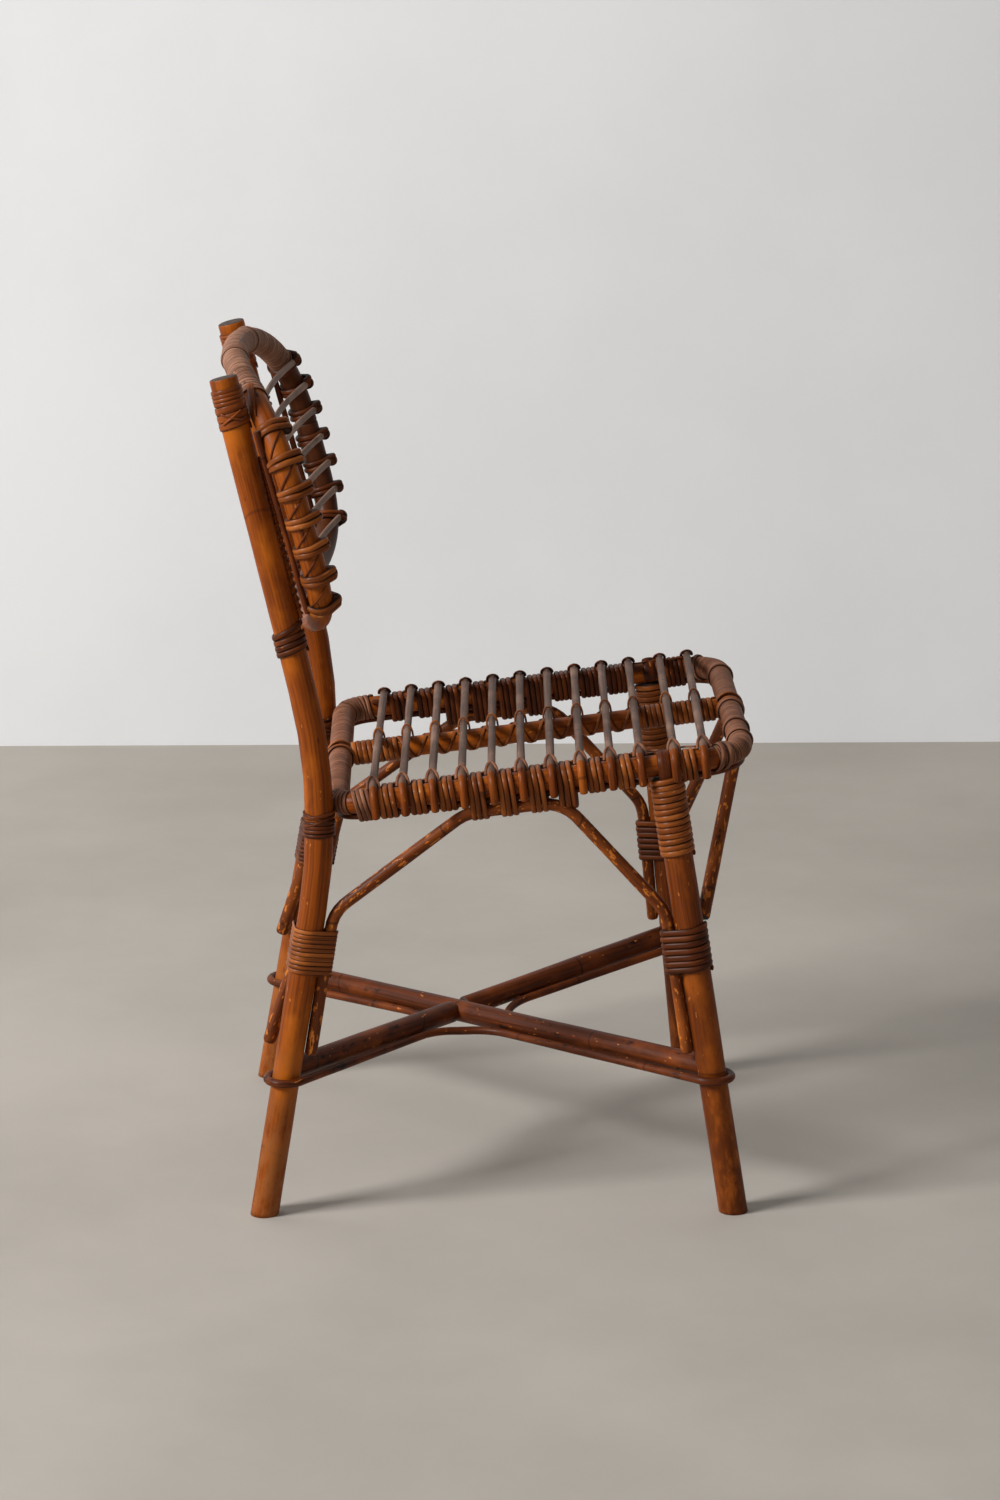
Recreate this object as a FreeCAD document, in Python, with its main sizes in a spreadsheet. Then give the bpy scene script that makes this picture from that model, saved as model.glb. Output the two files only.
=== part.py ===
import FreeCAD, Part
import math
import os
import Sketcher

# Rattan dining chair. X points forward, Y to the sitter's left, Z up, in millimetres.
# Four splayed legs, a rounded seat frame with sticks laid across it, and a bowed hoop with slats
# between the tall back posts. Cane bindings hold the poles together.

SIZES = {
    # feet, legs and posts; the left legs of this hand-built chair stand a little further back
    "back_leg_diameter": 27, "front_leg_diameter": 28, "foot_half_spacing": 206, "side_lean": 0.04,
    "back_leg_slope": 0.164, "left_back_leg_slope": 0.1785,
    "post_slope": 0.238, "left_post_slope": 0.2528,
    "front_leg_slope": 0.159, "left_front_leg_slope": 0.1,
    "front_foot_x": 244.7, "left_front_foot_x": 224.3,
    "bend_setback": 6, "left_bend_setback": 9, "bend_rise": 6.5, "post_bend_radius": 550,
    "post_top_height": 816, "foot_trim": 12,
    # seat
    "seat_back_x": -138.3, "seat_front_x": 249.3, "seat_back_height": 406.5, "seat_rise": 0.124,
    "rail_diameter": 21, "back_corner_radius": 26, "front_corner_radius": 42,
    "centre_rail_diameter": 20, "edge_rod_diameter": 6, "inner_rod_diameter": 6,
    "stick_diameter": 8, "first_stick_x": -98.3, "stick_pitch": 28.2, "stick_leg_gap": 32.3,
    "stick_tail": 15, "stick_skew": 7,
    "tongue_width": 12, "tongue_thickness": 4.5, "shoulder_drop": 5.5,
    # back
    "hoop_diameter": 23, "hoop_half_width": 198, "hoop_half_height": 126, "hoop_lean": 0.263,
    "hoop_roll": 0.02, "hoop_tie_level": 222, "hoop_tie_drop": 32, "hoop_top_power": 2.6, "hoop_foot_power": 4.6,
    "hoop_bow": 33, "hoop_rod_diameter": 6, "hoop_rod_length": 180, "hoop_rod_level": 25,
    "hoop_rod_spread": 190,
    "slat_width": 7, "slat_thickness": 4.5, "slat_overhang": 3, "first_slat_level": 30,
    "slat_pitch": 28.1,
    # braces and stretchers
    "side_brace_diameter": 12, "arch_brace_diameter": 13, "brace_bar_half": 46, "brace_bar_x": 27.7,
    "brace_knee_height": 302, "brace_foot_height": 160,
    "left_brace_foot_height": 174, "brace_bend_radius": 42,
    "knee_bend_radius": 40, "arch_bar_half": 66, "front_arch_height": 290, "front_arch_ahead": 16,
    "back_arch_height": 310, "back_arch_foot_height": 166, "back_arch_ahead": 4,
    "stretcher_diameter": 22, "crossing_share": 0.42, "stretcher_height": 145,
    "left_back_stretcher_height": 117, "left_front_stretcher_height": 159,
    "ring_diameter": 8, "ring_drop": 8, "ring_corner_radius": 55,
    # cane
    "clearance": 0.3, "cane_width": 4.8, "cane_thickness": 2, "cane_gap": 0.8,
    "leg_wrap_turns": 13, "binding_turns": 7, "hoop_foot_turns": 4, "corner_turns": 2,
    "hoop_tie_turns": 5, "rail_band_width": 14, "rail_band_thickness": 1.2,
}

V = FreeCAD.Vector
doc = FreeCAD.newDocument("rattan_chair")
sheet = doc.addObject("Spreadsheet::Sheet", "Sizes")
for row, (name, value) in enumerate(SIZES.items(), start=1):
    sheet.set(f"A{row}", name)
    sheet.set(f"B{row}", str(value))
    sheet.setAlias(f"B{row}", name)
doc.recompute()


def size(name):
    return float(getattr(sheet, name))


nodes = {}


def keep(label, obj):
    obj.Label = label
    nodes[label] = obj
    return obj


# Shared lines of the chair, all derived from the sheet.
CLEAR = size("clearance")
RAIL_R = size("rail_diameter") / 2
BACK_R = size("back_leg_diameter") / 2
FRONT_R = size("front_leg_diameter") / 2
TILT = math.atan(size("seat_rise"))
SEAT_AXIS = V(math.cos(TILT), 0, math.sin(TILT))
SEAT_UP = V(-math.sin(TILT), 0, math.cos(TILT))
SEAT_ORIGIN = V(size("seat_back_x"), 0, size("seat_back_height"))
SEAT_DEPTH = (size("seat_front_x") - size("seat_back_x")) / math.cos(TILT)
SIDES = {"left": 1, "right": -1}


def seat_point(x, y, rise=0):
    """Point on the rail plane over world X, raised along the seat normal."""
    along = (x - size("seat_back_x")) / math.cos(TILT)
    return SEAT_ORIGIN + SEAT_AXIS * along + V(0, y, 0) + SEAT_UP * rise


def side_y(z):
    """Half spacing of the leaning side planes that hold legs and side braces."""
    return size("foot_half_spacing") - size("side_lean") * z


BEND_Z = size("seat_back_height") + size("bend_rise")
TOP_Z = size("post_top_height")


def of_side(name, side):
    return size(f"left_{name}" if side > 0 else name)


def bend_x(side):
    return size("seat_back_x") - of_side("bend_setback", side)


def back_leg_x(z, side):
    return bend_x(side) + of_side("back_leg_slope", side) * (z - BEND_Z)


def post_x(z, side):
    return bend_x(side) - of_side("post_slope", side) * (z - BEND_Z)


def front_leg_x(z, side):
    return of_side("front_foot_x", side) - of_side("front_leg_slope", side) * z


def leg_top(side):
    """Where the axis of a front leg meets the rail plane, as (x, z)."""
    foot, slope = of_side("front_foot_x", side), of_side("front_leg_slope", side)
    level = size("seat_back_height") + size("seat_rise") * (foot - size("seat_back_x"))
    z = level / (1 + size("seat_rise") * slope)
    return front_leg_x(z, side), z


def side_point(x, z, side):
    return V(x, side * side_y(z), z)


def leg_direction(slope, side):
    return V(slope, -side * size("side_lean"), 1).normalize()


# Sketch and solid helpers.
def new_body(label):
    body = doc.addObject("PartDesign::Body", label)
    planes = {item.Role: item for item in body.Origin.OriginFeatures if hasattr(item, "Role")}
    return body, planes


def rounded(corners, radii, closed=False):
    """Line and arc pieces of a polyline whose corners are rounded."""
    count = len(corners)
    cuts = []
    for i, corner in enumerate(corners):
        if not closed and i in (0, count - 1):
            cuts.append((corner, None, corner))
            continue
        before = (corners[i - 1] - corner).normalize()
        after = (corners[(i + 1) % count] - corner).normalize()
        half = before.getAngle(after) / 2
        bisector = (before + after).normalize()
        reach = radii[i] / math.tan(half)
        middle = corner + bisector * (radii[i] / math.sin(half) - radii[i])
        cuts.append((corner + before * reach, middle, corner + after * reach))
    pieces = []
    for i, (start, middle, end) in enumerate(cuts):
        if middle is not None:
            pieces.append(Part.Arc(start, middle, end))
        if closed or i < count - 1:
            pieces.append(Part.LineSegment(end, cuts[(i + 1) % count][0]))
    return pieces


def section(body, path, flats, radius):
    """Pole section square to the start of the path: a circle, or a polygon inscribed in it."""
    sketch = body.newObject("Sketcher::SketchObject", "section")
    sketch.AttachmentSupport = [(path, "Edge1")]
    sketch.MapMode = "NormalToEdge"
    sketch.MapPathParameter = 0
    value = sheet.evalExpression(radius)
    ring = sketch.addGeometry(Part.Circle(V(0, 0, 0), V(0, 0, 1), value), flats > 0)
    sketch.addConstraint(Sketcher.Constraint("Coincident", ring, 3, -1, 1))
    bound = sketch.addConstraint(Sketcher.Constraint("Radius", ring, value))
    sketch.setExpression(f"Constraints[{bound}]", radius)
    if flats:
        turn = 2 * math.pi / flats
        points = [V(value * math.cos(k * turn), value * math.sin(k * turn), 0) for k in range(flats)]
        sides = [
            sketch.addGeometry(Part.LineSegment(points[k], points[(k + 1) % flats]), False)
            for k in range(flats)
        ]
        for k, side in enumerate(sides):
            sketch.addConstraint(Sketcher.Constraint("Coincident", side, 2, sides[(k + 1) % flats], 1))
            sketch.addConstraint(Sketcher.Constraint("PointOnObject", side, 1, ring))
            if k:
                sketch.addConstraint(Sketcher.Constraint("Equal", sides[0], side))
        sketch.addConstraint(Sketcher.Constraint("PointOnObject", sides[0], 1, -1))
    return sketch


def bent_pole(label, plane, pieces, radius, flats, corner="Round corner"):
    """Pole swept along lines and arcs drawn in one plane of its own body."""
    body, planes = new_body(label)
    path = body.newObject("Sketcher::SketchObject", "path")
    path.AttachmentSupport = [(planes[plane], "")]
    path.MapMode = "FlatFace"
    path.addGeometry(pieces, False)
    for k in range(len(pieces) - 1):
        meeting = pieces[k].EndPoint
        ends = [1 if path.getPoint(j, 1).isEqual(meeting, 1e-6) else 2 for j in (k, k + 1)]
        path.addConstraint(Sketcher.Constraint("Coincident", k, ends[0], k + 1, ends[1]))
    doc.recompute()
    outline = section(body, path, flats, radius)
    doc.recompute()
    pipe = body.newObject("PartDesign::AdditivePipe", "pole")
    pipe.Profile = outline
    pipe.Spine = (path, [f"Edge{k + 1}" for k in range(len(pieces))])
    pipe.Transition = corner
    return body


def frame_placement(origin, x_axis, y_axis):
    z_axis = x_axis.cross(y_axis)
    return FreeCAD.Placement(origin, FreeCAD.Rotation(x_axis, y_axis, z_axis, "ZXY"))


def straight_rod(label, start, end, radius):
    """Straight round pole between two points."""
    rod = doc.addObject("Part::Cylinder", label)
    rod.setExpression("Radius", radius)
    rod.Height = (end - start).Length
    rod.Placement = FreeCAD.Placement(start, FreeCAD.Rotation(V(0, 0, 1), end - start))
    return rod


def cut(label, base, *tools):
    for k, tool in enumerate(tools):
        result = doc.addObject("Part::Cut", f"{label}_cut_{k}")
        result.Base = base
        result.Tool = tool
        base = result
    return base


def shaped(label, shape):
    feature = doc.addObject("Part::Feature", label)
    feature.Shape = shape
    return keep(label, feature)


# Legs. Each side's legs and brace lie in one leaning plane.
LEAN_STRETCH = math.hypot(1, size("side_lean"))


def in_side(x, z):
    return V(x, z * LEAN_STRETCH, 0)


def side_plane(side):
    lean = V(0, -side * size("side_lean"), 1).normalize()
    return frame_placement(V(0, side * size("foot_half_spacing"), 0), V(1, 0, 0), lean.cross(V(1, 0, 0)))


TRIM = size("foot_trim")
floor = doc.addObject("Part::Box", "floor_trim")
floor.setExpression("Length", "4 * Sizes.foot_half_spacing")
floor.setExpression("Width", "4 * Sizes.foot_half_spacing")
floor.setExpression("Height", "4 * Sizes.foot_trim")
floor.Placement.Base = V(-2 * size("foot_half_spacing"), -2 * size("foot_half_spacing"), -4 * TRIM)

for name, side in SIDES.items():
    corners = [
        in_side(back_leg_x(-TRIM, side), -TRIM),
        in_side(bend_x(side), BEND_Z),
        in_side(post_x(TOP_Z, side), TOP_Z),
    ]
    pieces = rounded(corners, [0, size("post_bend_radius"), 0])
    pole = bent_pole(f"back_leg_{name}_pole", "XZ_Plane", pieces, "Sizes.back_leg_diameter / 2", 16)
    pole.Placement = side_plane(side)
    keep(f"back_leg_{name}", cut(f"back_leg_{name}", pole, floor))

# The front legs end in a tongue that is bent over the side rail, above a pair of shoulders.
HALF = side_y(leg_top(-1)[1])
for name, side in SIDES.items():
    top_x, top_z = leg_top(side)
    start = side_point(front_leg_x(-TRIM, side), -TRIM, side)
    top = side_point(top_x, top_z, side)
    pole = straight_rod(f"front_leg_{name}_pole", start, top, "Sizes.front_leg_diameter / 2")
    rail = seat_point(top_x, side * HALF)
    tongue = doc.addObject("Part::Cylinder", f"tongue_{name}")
    tongue.setExpression("Radius", "Sizes.rail_diameter / 2 + Sizes.clearance + Sizes.tongue_thickness")
    tongue.setExpression("Height", "Sizes.tongue_width")
    tongue.Angle = 180
    half = SEAT_AXIS * (size("tongue_width") / 2)
    tongue.Placement = frame_placement(rail - half, V(0, 1, 0), SEAT_UP)
    joined = doc.addObject("Part::Fuse", f"front_leg_{name}_joined")
    joined.Base, joined.Tool = pole, tongue
    seat_way = straight_rod(
        f"rail_way_{name}", rail - SEAT_AXIS * 40, rail + SEAT_AXIS * 40,
        "Sizes.rail_diameter / 2 + Sizes.clearance",
    )
    shoulders = []
    for way in (-1, 1):
        block = doc.addObject("Part::Box", f"shoulder_{name}")
        block.Length, block.Width, block.Height = 30, 60, 60
        corner = rail + SEAT_AXIS * (way * size("tongue_width") / 2 - (30 if way < 0 else 0))
        corner -= V(0, 30, 0) + SEAT_UP * (RAIL_R + size("shoulder_drop"))
        block.Placement = frame_placement(corner, SEAT_AXIS, V(0, 1, 0))
        shoulders.append(block)
    keep(f"front_leg_{name}", cut(f"front_leg_{name}", joined, seat_way, floor, *shoulders))

# Seat frame, edge rods below it and inner rods beside the rails.
BACK_CORNER = size("back_corner_radius")
FRONT_CORNER = size("front_corner_radius")
frame_corners = [V(0, -HALF, 0), V(SEAT_DEPTH, -HALF, 0), V(SEAT_DEPTH, HALF, 0), V(0, HALF, 0)]
pieces = rounded(frame_corners, [BACK_CORNER, FRONT_CORNER, FRONT_CORNER, BACK_CORNER], True)
seat_frame = bent_pole("seat_frame_pole", "XY_Plane", pieces, "Sizes.rail_diameter / 2", 12)
seat_frame.Placement = frame_placement(SEAT_ORIGIN, SEAT_AXIS, V(0, 1, 0))
keep("seat_frame", seat_frame)

EDGE_DROP = RAIL_R + CLEAR + size("edge_rod_diameter") / 2
LEG_ROOM = FRONT_R + 3
edge_ends = {}
for name, way, corner, radius in (("back", -1, 0, BACK_CORNER), ("front", 1, 1, FRONT_CORNER)):
    marks = [(leg_top(side)[0] - size("seat_back_x")) / math.cos(TILT) + way * LEG_ROOM
             for side in (-1, 1)]
    ends = [V(marks[0], -HALF, 0), V(marks[1], HALF, 0)]
    edge_ends[name] = ([ends[0], frame_corners[corner], frame_corners[3 - corner], ends[1]], radius)
for name, (corners, radius) in edge_ends.items():
    pieces = rounded(corners, [0, radius, radius, 0])
    rod = bent_pole(f"edge_rod_{name}_pole", "XY_Plane", pieces, "Sizes.edge_rod_diameter / 2", 6)
    rod.Placement = frame_placement(SEAT_ORIGIN - SEAT_UP * EDGE_DROP, SEAT_AXIS, V(0, 1, 0))
    keep(f"edge_rod_{name}", rod)

INNER_R = size("inner_rod_diameter") / 2
inner_rise = RAIL_R - INNER_R
inner_in = math.sqrt((RAIL_R + INNER_R + CLEAR) ** 2 - inner_rise**2)
inner_from = size("seat_back_x") + BACK_CORNER + 4


def inner_to(side):
    return leg_top(side)[0] - size("tongue_width") / 2 - 2


for name, side in SIDES.items():
    y = side * (HALF - inner_in)
    start, end = seat_point(inner_from, y, inner_rise), seat_point(inner_to(side), y, inner_rise)
    keep(f"inner_rod_{name}", straight_rod(f"inner_rod_{name}", start, end, "Sizes.inner_rod_diameter / 2"))

centre_rise = RAIL_R - size("centre_rail_diameter") / 2
start = seat_point(size("seat_back_x") + RAIL_R + CLEAR, 0, centre_rise)
end = seat_point(size("seat_front_x") - RAIL_R - CLEAR, 0, centre_rise)
keep("centre_rail", straight_rod("centre_rail", start, end, "Sizes.centre_rail_diameter / 2"))

# Seat sticks lie across the rails and are bent down over their outer faces.
STICK_R = size("stick_diameter") / 2
bend = RAIL_R + CLEAR + STICK_R
half_stick = []
for degrees in (75, 45, 15):
    angle = math.radians(degrees)
    reach = bend / math.cos(math.radians(15))
    half_stick.append(V(HALF + reach * math.cos(angle), reach * math.sin(angle) - bend, 0))
half_stick.append(V(HALF + bend, -bend - size("stick_tail"), 0))
stick_corners = [V(-p.x, p.y, 0) for p in reversed(half_stick)] + half_stick
pieces = [Part.LineSegment(a, b) for a, b in zip(stick_corners, stick_corners[1:])]
stick_x = [size("first_stick_x") + size("stick_pitch") * k for k in range(10)]
stick_x.append(stick_x[-1] + size("stick_leg_gap"))
stick_x.append(stick_x[-1] + size("stick_pitch"))
across = (V(0, 1, 0) + SEAT_AXIS * (size("stick_skew") / (2 * HALF))).normalize()
for number, x in enumerate(stick_x, start=1):
    label = f"seat_stick_{number:02d}"
    stick = bent_pole(f"{label}_pole", "YZ_Plane", pieces, "Sizes.stick_diameter / 2", 8, "Right corner")
    stick.Placement = frame_placement(seat_point(x, 0, bend), across.cross(SEAT_UP), across)
    keep(label, stick)

# Back hoop: a rounded loop that leans back between the posts, bows to the rear and hangs a little
# higher on the left.
RAKE = math.atan(size("hoop_lean"))
HOOP_FRONT = V(math.cos(RAKE), 0, math.sin(RAKE))
HOOP_ACROSS = (V(0, 1, 0) + V(0, 1, 0).cross(HOOP_FRONT) * -size("hoop_roll")).normalize()
HOOP_UP = HOOP_FRONT.cross(HOOP_ACROSS)
HOOP_R = size("hoop_diameter") / 2
ROD_R = size("hoop_rod_diameter") / 2
WIDE, TALL, BOW = size("hoop_half_width"), size("hoop_half_height"), size("hoop_bow")


def hoop_bow(y):
    return BOW * (1 - (y / WIDE) ** 2)


# The hoop rests against the posts where their top bindings hold it.
TIE_Z = TOP_Z - size("hoop_tie_drop")
BOUND_R = (BACK_R + CLEAR) / math.cos(math.pi / 10) + size("cane_thickness")
HOOP_STEP = BOUND_R + HOOP_R + 5 * CLEAR + hoop_bow(side_y(TIE_Z))
HOOP_BASE = V(post_x(TIE_Z, -1), 0, TIE_Z) + HOOP_FRONT * HOOP_STEP
HOOP_BASE -= (HOOP_UP - V(0, HOOP_UP.y, 0)) * size("hoop_tie_level")


def hoop_width(level):
    share = level / TALL - 1
    power = size("hoop_top_power") if share > 0 else size("hoop_foot_power")
    return WIDE * (1 - abs(share) ** power) ** (1 / power)


def hoop_point(y, level, ahead=0):
    return HOOP_BASE + HOOP_ACROSS * y + HOOP_UP * level + HOOP_FRONT * (ahead - hoop_bow(y))


def hoop_station(degrees):
    """Point and direction on the hoop, the angle counted from its left edge over the crown."""
    c, s = math.cos(math.radians(degrees)), math.sin(math.radians(degrees))
    power = size("hoop_top_power") if s >= 0 else size("hoop_foot_power")
    y = WIDE * math.copysign(abs(c) ** (2 / power), c)
    z = TALL * math.copysign(abs(s) ** (2 / power), s)
    steep_y = math.copysign(abs(y / WIDE) ** (power - 1), c) / WIDE
    steep_z = math.copysign(abs(z / TALL) ** (power - 1), s) / TALL
    way = HOOP_UP * steep_y - HOOP_ACROSS * steep_z - HOOP_FRONT * (2 * BOW * y / WIDE**2 * steep_z)
    return hoop_point(y, TALL + z), way.normalize()


def ruled_tube(stations, facing, radius, flats, closed=False):
    """Many-sided tube through stations (point, direction), its flats turned to one facing."""
    sections = []
    for point, way in stations:
        out = (facing - way * facing.dot(way)).normalize()
        over = way.cross(out)
        ring = []
        for k in range(flats):
            angle = 2 * math.pi * (k + 0.5) / flats
            ring.append(point + out * (radius * math.cos(angle)) + over * (radius * math.sin(angle)))
        sections.append(Part.makePolygon(ring + ring[:1]))
    return Part.makeLoft(sections, True, True, closed)


HOOP_TURNS = [0, 12, 24, 33, 42, 51, 62, 75]
hoop_degrees = HOOP_TURNS + [90] + [180 - k for k in reversed(HOOP_TURNS)]
hoop_degrees += [k + 180 for k in HOOP_TURNS[1:]] + [270] + [360 - k for k in reversed(HOOP_TURNS[1:])]
hoop_stations = [hoop_station(degrees) for degrees in hoop_degrees]
shaped("back_hoop", ruled_tube(hoop_stations, HOOP_FRONT, HOOP_R, 10, True))

# A thin rod runs up behind each side of the hoop.
for name, side in SIDES.items():
    levels = [size("hoop_rod_level"), size("hoop_rod_level") + size("hoop_rod_length")]
    y = side * size("hoop_rod_spread")
    behind = -(HOOP_R + CLEAR + ROD_R) * math.hypot(1, 2 * BOW / WIDE)
    ends = [hoop_point(y, level, behind) for level in levels]
    keep(f"hoop_rod_{name}", straight_rod(f"hoop_rod_{name}", *ends, "Sizes.hoop_rod_diameter / 2"))

slat_half = size("slat_thickness") / 2
for number in range(7):
    level = size("first_slat_level") + size("slat_pitch") * number
    reach = hoop_width(level) + size("slat_overhang")
    ahead = (HOOP_R + CLEAR) * math.hypot(1, 2 * BOW / WIDE) + slat_half
    label = f"back_slat_{number + 1}"
    slat, planes = new_body(label)
    outline = slat.newObject("Sketcher::SketchObject", "outline")
    outline.AttachmentSupport = [(planes["XY_Plane"], "")]
    outline.MapMode = "FlatFace"
    arcs = []
    for shift in (-slat_half, slat_half):
        ends = [V(y, hoop_bow(y) - ahead + shift, 0) for y in (-reach, 0, reach)]
        arcs.append(ends)
    front, rear = arcs
    outline.addGeometry(
        [Part.Arc(*front), Part.LineSegment(front[2], rear[2]),
         Part.Arc(*reversed(rear)), Part.LineSegment(rear[0], front[0])], False)
    doc.recompute()
    pad = slat.newObject("PartDesign::Pad", "strip")
    pad.Profile = outline
    pad.setExpression("Length", "Sizes.slat_width")
    base = HOOP_BASE + HOOP_UP * (level - size("slat_width") / 2)
    slat.Placement = frame_placement(base, HOOP_ACROSS, HOOP_FRONT * -1)
    keep(label, slat)

# Side braces: from leg to leg, up under the side rail.
BRACE_R = size("side_brace_diameter") / 2
EDGE_R = size("edge_rod_diameter") / 2
BAR_DROP = EDGE_DROP + EDGE_R + CLEAR + BRACE_R
KNEE_Z = size("brace_knee_height")


def back_brace_x(z, side):
    slope = of_side("back_leg_slope", side)
    return back_leg_x(z, side) + (BACK_R + BRACE_R + CLEAR) * math.hypot(1, slope)


def front_brace_x(z, side):
    slope = of_side("front_leg_slope", side)
    return front_leg_x(z, side) - (FRONT_R + BRACE_R + CLEAR) * math.hypot(1, slope)


bar_ends = [size("brace_bar_x") + way * size("brace_bar_half") for way in (-1, 1)]
bar_back, bar_front = [seat_point(x, 0, -BAR_DROP) for x in bar_ends]
knee_bend, bar_bend = size("knee_bend_radius"), size("brace_bend_radius")
brace_bends = [0, knee_bend, bar_bend, bar_bend, knee_bend, 0]
for name, side in SIDES.items():
    foot_z = of_side("brace_foot_height", side)
    corners = [
        in_side(back_brace_x(foot_z, side), foot_z),
        in_side(back_brace_x(KNEE_Z, side), KNEE_Z),
        in_side(bar_back.x, bar_back.z),
        in_side(bar_front.x, bar_front.z),
        in_side(front_brace_x(KNEE_Z, side), KNEE_Z),
        in_side(front_brace_x(foot_z, side), foot_z),
    ]
    pieces = rounded(corners, brace_bends)
    brace = bent_pole(f"side_brace_{name}_pole", "XZ_Plane", pieces, "Sizes.side_brace_diameter / 2", 8)
    brace.Placement = side_plane(side)
    keep(f"side_brace_{name}", brace)

# Arched braces between the front legs and between the back legs, each in a slanted plane.
ARCH_R = size("arch_brace_diameter") / 2
ARCH_DROP = EDGE_DROP + EDGE_R + CLEAR + ARCH_R


def arch_brace(label, leg_x, leg_radius, knee_z, foot_z, forward, bar_x):
    """Arch beside the inner faces of two legs; the return value tells its lead over a leg."""
    inward = math.sqrt((leg_radius + ARCH_R + CLEAR) ** 2 - forward**2) + CLEAR
    knee = V((leg_x(knee_z, 1) + leg_x(knee_z, -1)) / 2 + forward, 0, knee_z)
    bar = seat_point(bar_x, 0, -ARCH_DROP)
    up = (bar - knee).normalize()
    level = (bar - knee).Length
    half = [V(size("arch_bar_half"), level, 0), V(side_y(knee_z) - inward, 0, 0)]
    bends = [bar_bend, 0]
    if foot_z:
        half.append(V(side_y(foot_z) - inward, (foot_z - knee_z) / up.z, 0))
        bends = [bar_bend, knee_bend / 2, 0]
    corners = [V(-p.x, p.y, 0) for p in reversed(half)] + half
    bends = bends[::-1] + bends
    arch = bent_pole(f"{label}_pole", "XY_Plane", rounded(corners, bends),
                     "Sizes.arch_brace_diameter / 2", 8)
    arch.Placement = frame_placement(knee, V(0, 1, 0), up)
    keep(label, arch)
    return lambda z, side: knee.x + (z - knee_z) * up.x / up.z - leg_x(z, side)


arch_brace("front_brace", front_leg_x, FRONT_R, size("front_arch_height"), 0,
           size("front_arch_ahead"), size("seat_front_x"))
back_arch_lead = arch_brace(
    "back_brace", back_leg_x, BACK_R, size("back_arch_height"), size("back_arch_foot_height"),
    size("back_arch_ahead"), size("seat_back_x"))

# Crossed stretchers, coped to the legs; the second pole is in two halves that butt on the first.
STRETCH_Z = {"back_right": size("stretcher_height"), "front_right": size("stretcher_height"),
             "front_left": size("left_front_stretcher_height"),
             "back_left": size("left_back_stretcher_height")}
POLE_R = size("stretcher_diameter") / 2
leg_lines = {}
for name, side in SIDES.items():
    leg_lines[f"back_{name}"] = (side_point(back_leg_x(0, side), 0, side),
                                 leg_direction(of_side("back_leg_slope", side), side), BACK_R)
    leg_lines[f"front_{name}"] = (side_point(front_leg_x(0, side), 0, side),
                                  leg_direction(-of_side("front_leg_slope", side), side), FRONT_R)


def leg_axis(leg, z):
    foot, way, radius = leg_lines[leg]
    return foot + way * (z / way.z)


def stretcher_end(leg, drop=0):
    return leg_axis(leg, STRETCH_Z[leg] - drop)


def leg_way(leg):
    sleeve = "Sizes.front_leg_diameter" if leg.startswith("front") else "Sizes.back_leg_diameter"
    return straight_rod(f"{leg}_way", stretcher_end(leg, 60), stretcher_end(leg, -60),
                        f"{sleeve} / 2 + Sizes.clearance")


STRETCHER = "Sizes.stretcher_diameter / 2"
far_end, near_end = stretcher_end("back_left"), stretcher_end("front_right")
crossing = far_end + (near_end - far_end) * size("crossing_share")
long_pole = straight_rod("stretcher_long_pole", far_end, near_end, STRETCHER)
keep("stretcher_long", cut("stretcher_long", long_pole, leg_way("back_left"), leg_way("front_right")))
for name, leg in (("right", "back_right"), ("left", "front_left")):
    label = f"stretcher_half_{name}"
    pole = straight_rod(f"{label}_pole", stretcher_end(leg), crossing, STRETCHER)
    butt = straight_rod(f"{label}_butt", far_end, near_end, f"{STRETCHER} + Sizes.clearance")
    keep(label, cut(label, pole, leg_way(leg), butt))

# Ring rod: hugs the stretchers from below and loops round the outside of each leg.
RING_R = size("ring_diameter") / 2
RING_OFF = math.sqrt((POLE_R + RING_R + CLEAR) ** 2 - size("ring_drop") ** 2)
round_legs = ["back_right", "front_right", "front_left", "back_left"]
circles = []
for k, leg in enumerate(round_legs):
    here = stretcher_end(leg, size("ring_drop"))
    room = leg_lines[leg][2] * 1.02 + RING_R + CLEAR
    circles.append((here.x, here.y, room, 1))
    ways = [stretcher_end(item) - crossing for item in (leg, round_legs[(k + 1) % 4])]
    ways = [V(way.x, way.y, 0).normalize() for way in ways]
    middle = (ways[0] + ways[1]).normalize()
    half_angle = ways[0].getAngle(ways[1]) / 2
    bend_radius = size("ring_corner_radius")
    centre = crossing + middle * ((bend_radius + RING_OFF) / math.sin(half_angle))
    circles.append((centre.x, centre.y, bend_radius, -1))
contacts = [[None, None] for _ in circles]
for k, (x, y, radius, turn) in enumerate(circles):
    other = (k + 1) % len(circles)
    x2, y2, radius2, turn2 = circles[other]
    gap = math.hypot(x2 - x, y2 - y)
    heading = math.atan2(y2 - y, x2 - x) + turn * math.asin((radius + radius2) / gap)
    right = V(math.sin(heading), -math.cos(heading), 0)
    contacts[k][1] = V(x, y, 0) + right * (radius * turn)
    contacts[other][0] = V(x2, y2, 0) + right * (radius2 * turn2)


def ring_height(x, y):
    """Height of the ring: it follows the stretcher beside it and blends to the next at a corner."""
    spot = V(x, y, 0)
    flat = V(crossing.x, crossing.y, 0)
    total = weight = 0
    for leg in round_legs:
        end = stretcher_end(leg)
        way = V(end.x, end.y, 0) - flat
        share = min(max((spot - flat).dot(way) / way.Length**2, 0), 1)
        pull = spot.distanceToPoint(flat + way * share) ** -4
        total += pull * (crossing.z + (end.z - crossing.z) * share)
        weight += pull
    return total / weight - size("ring_drop")


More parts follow.
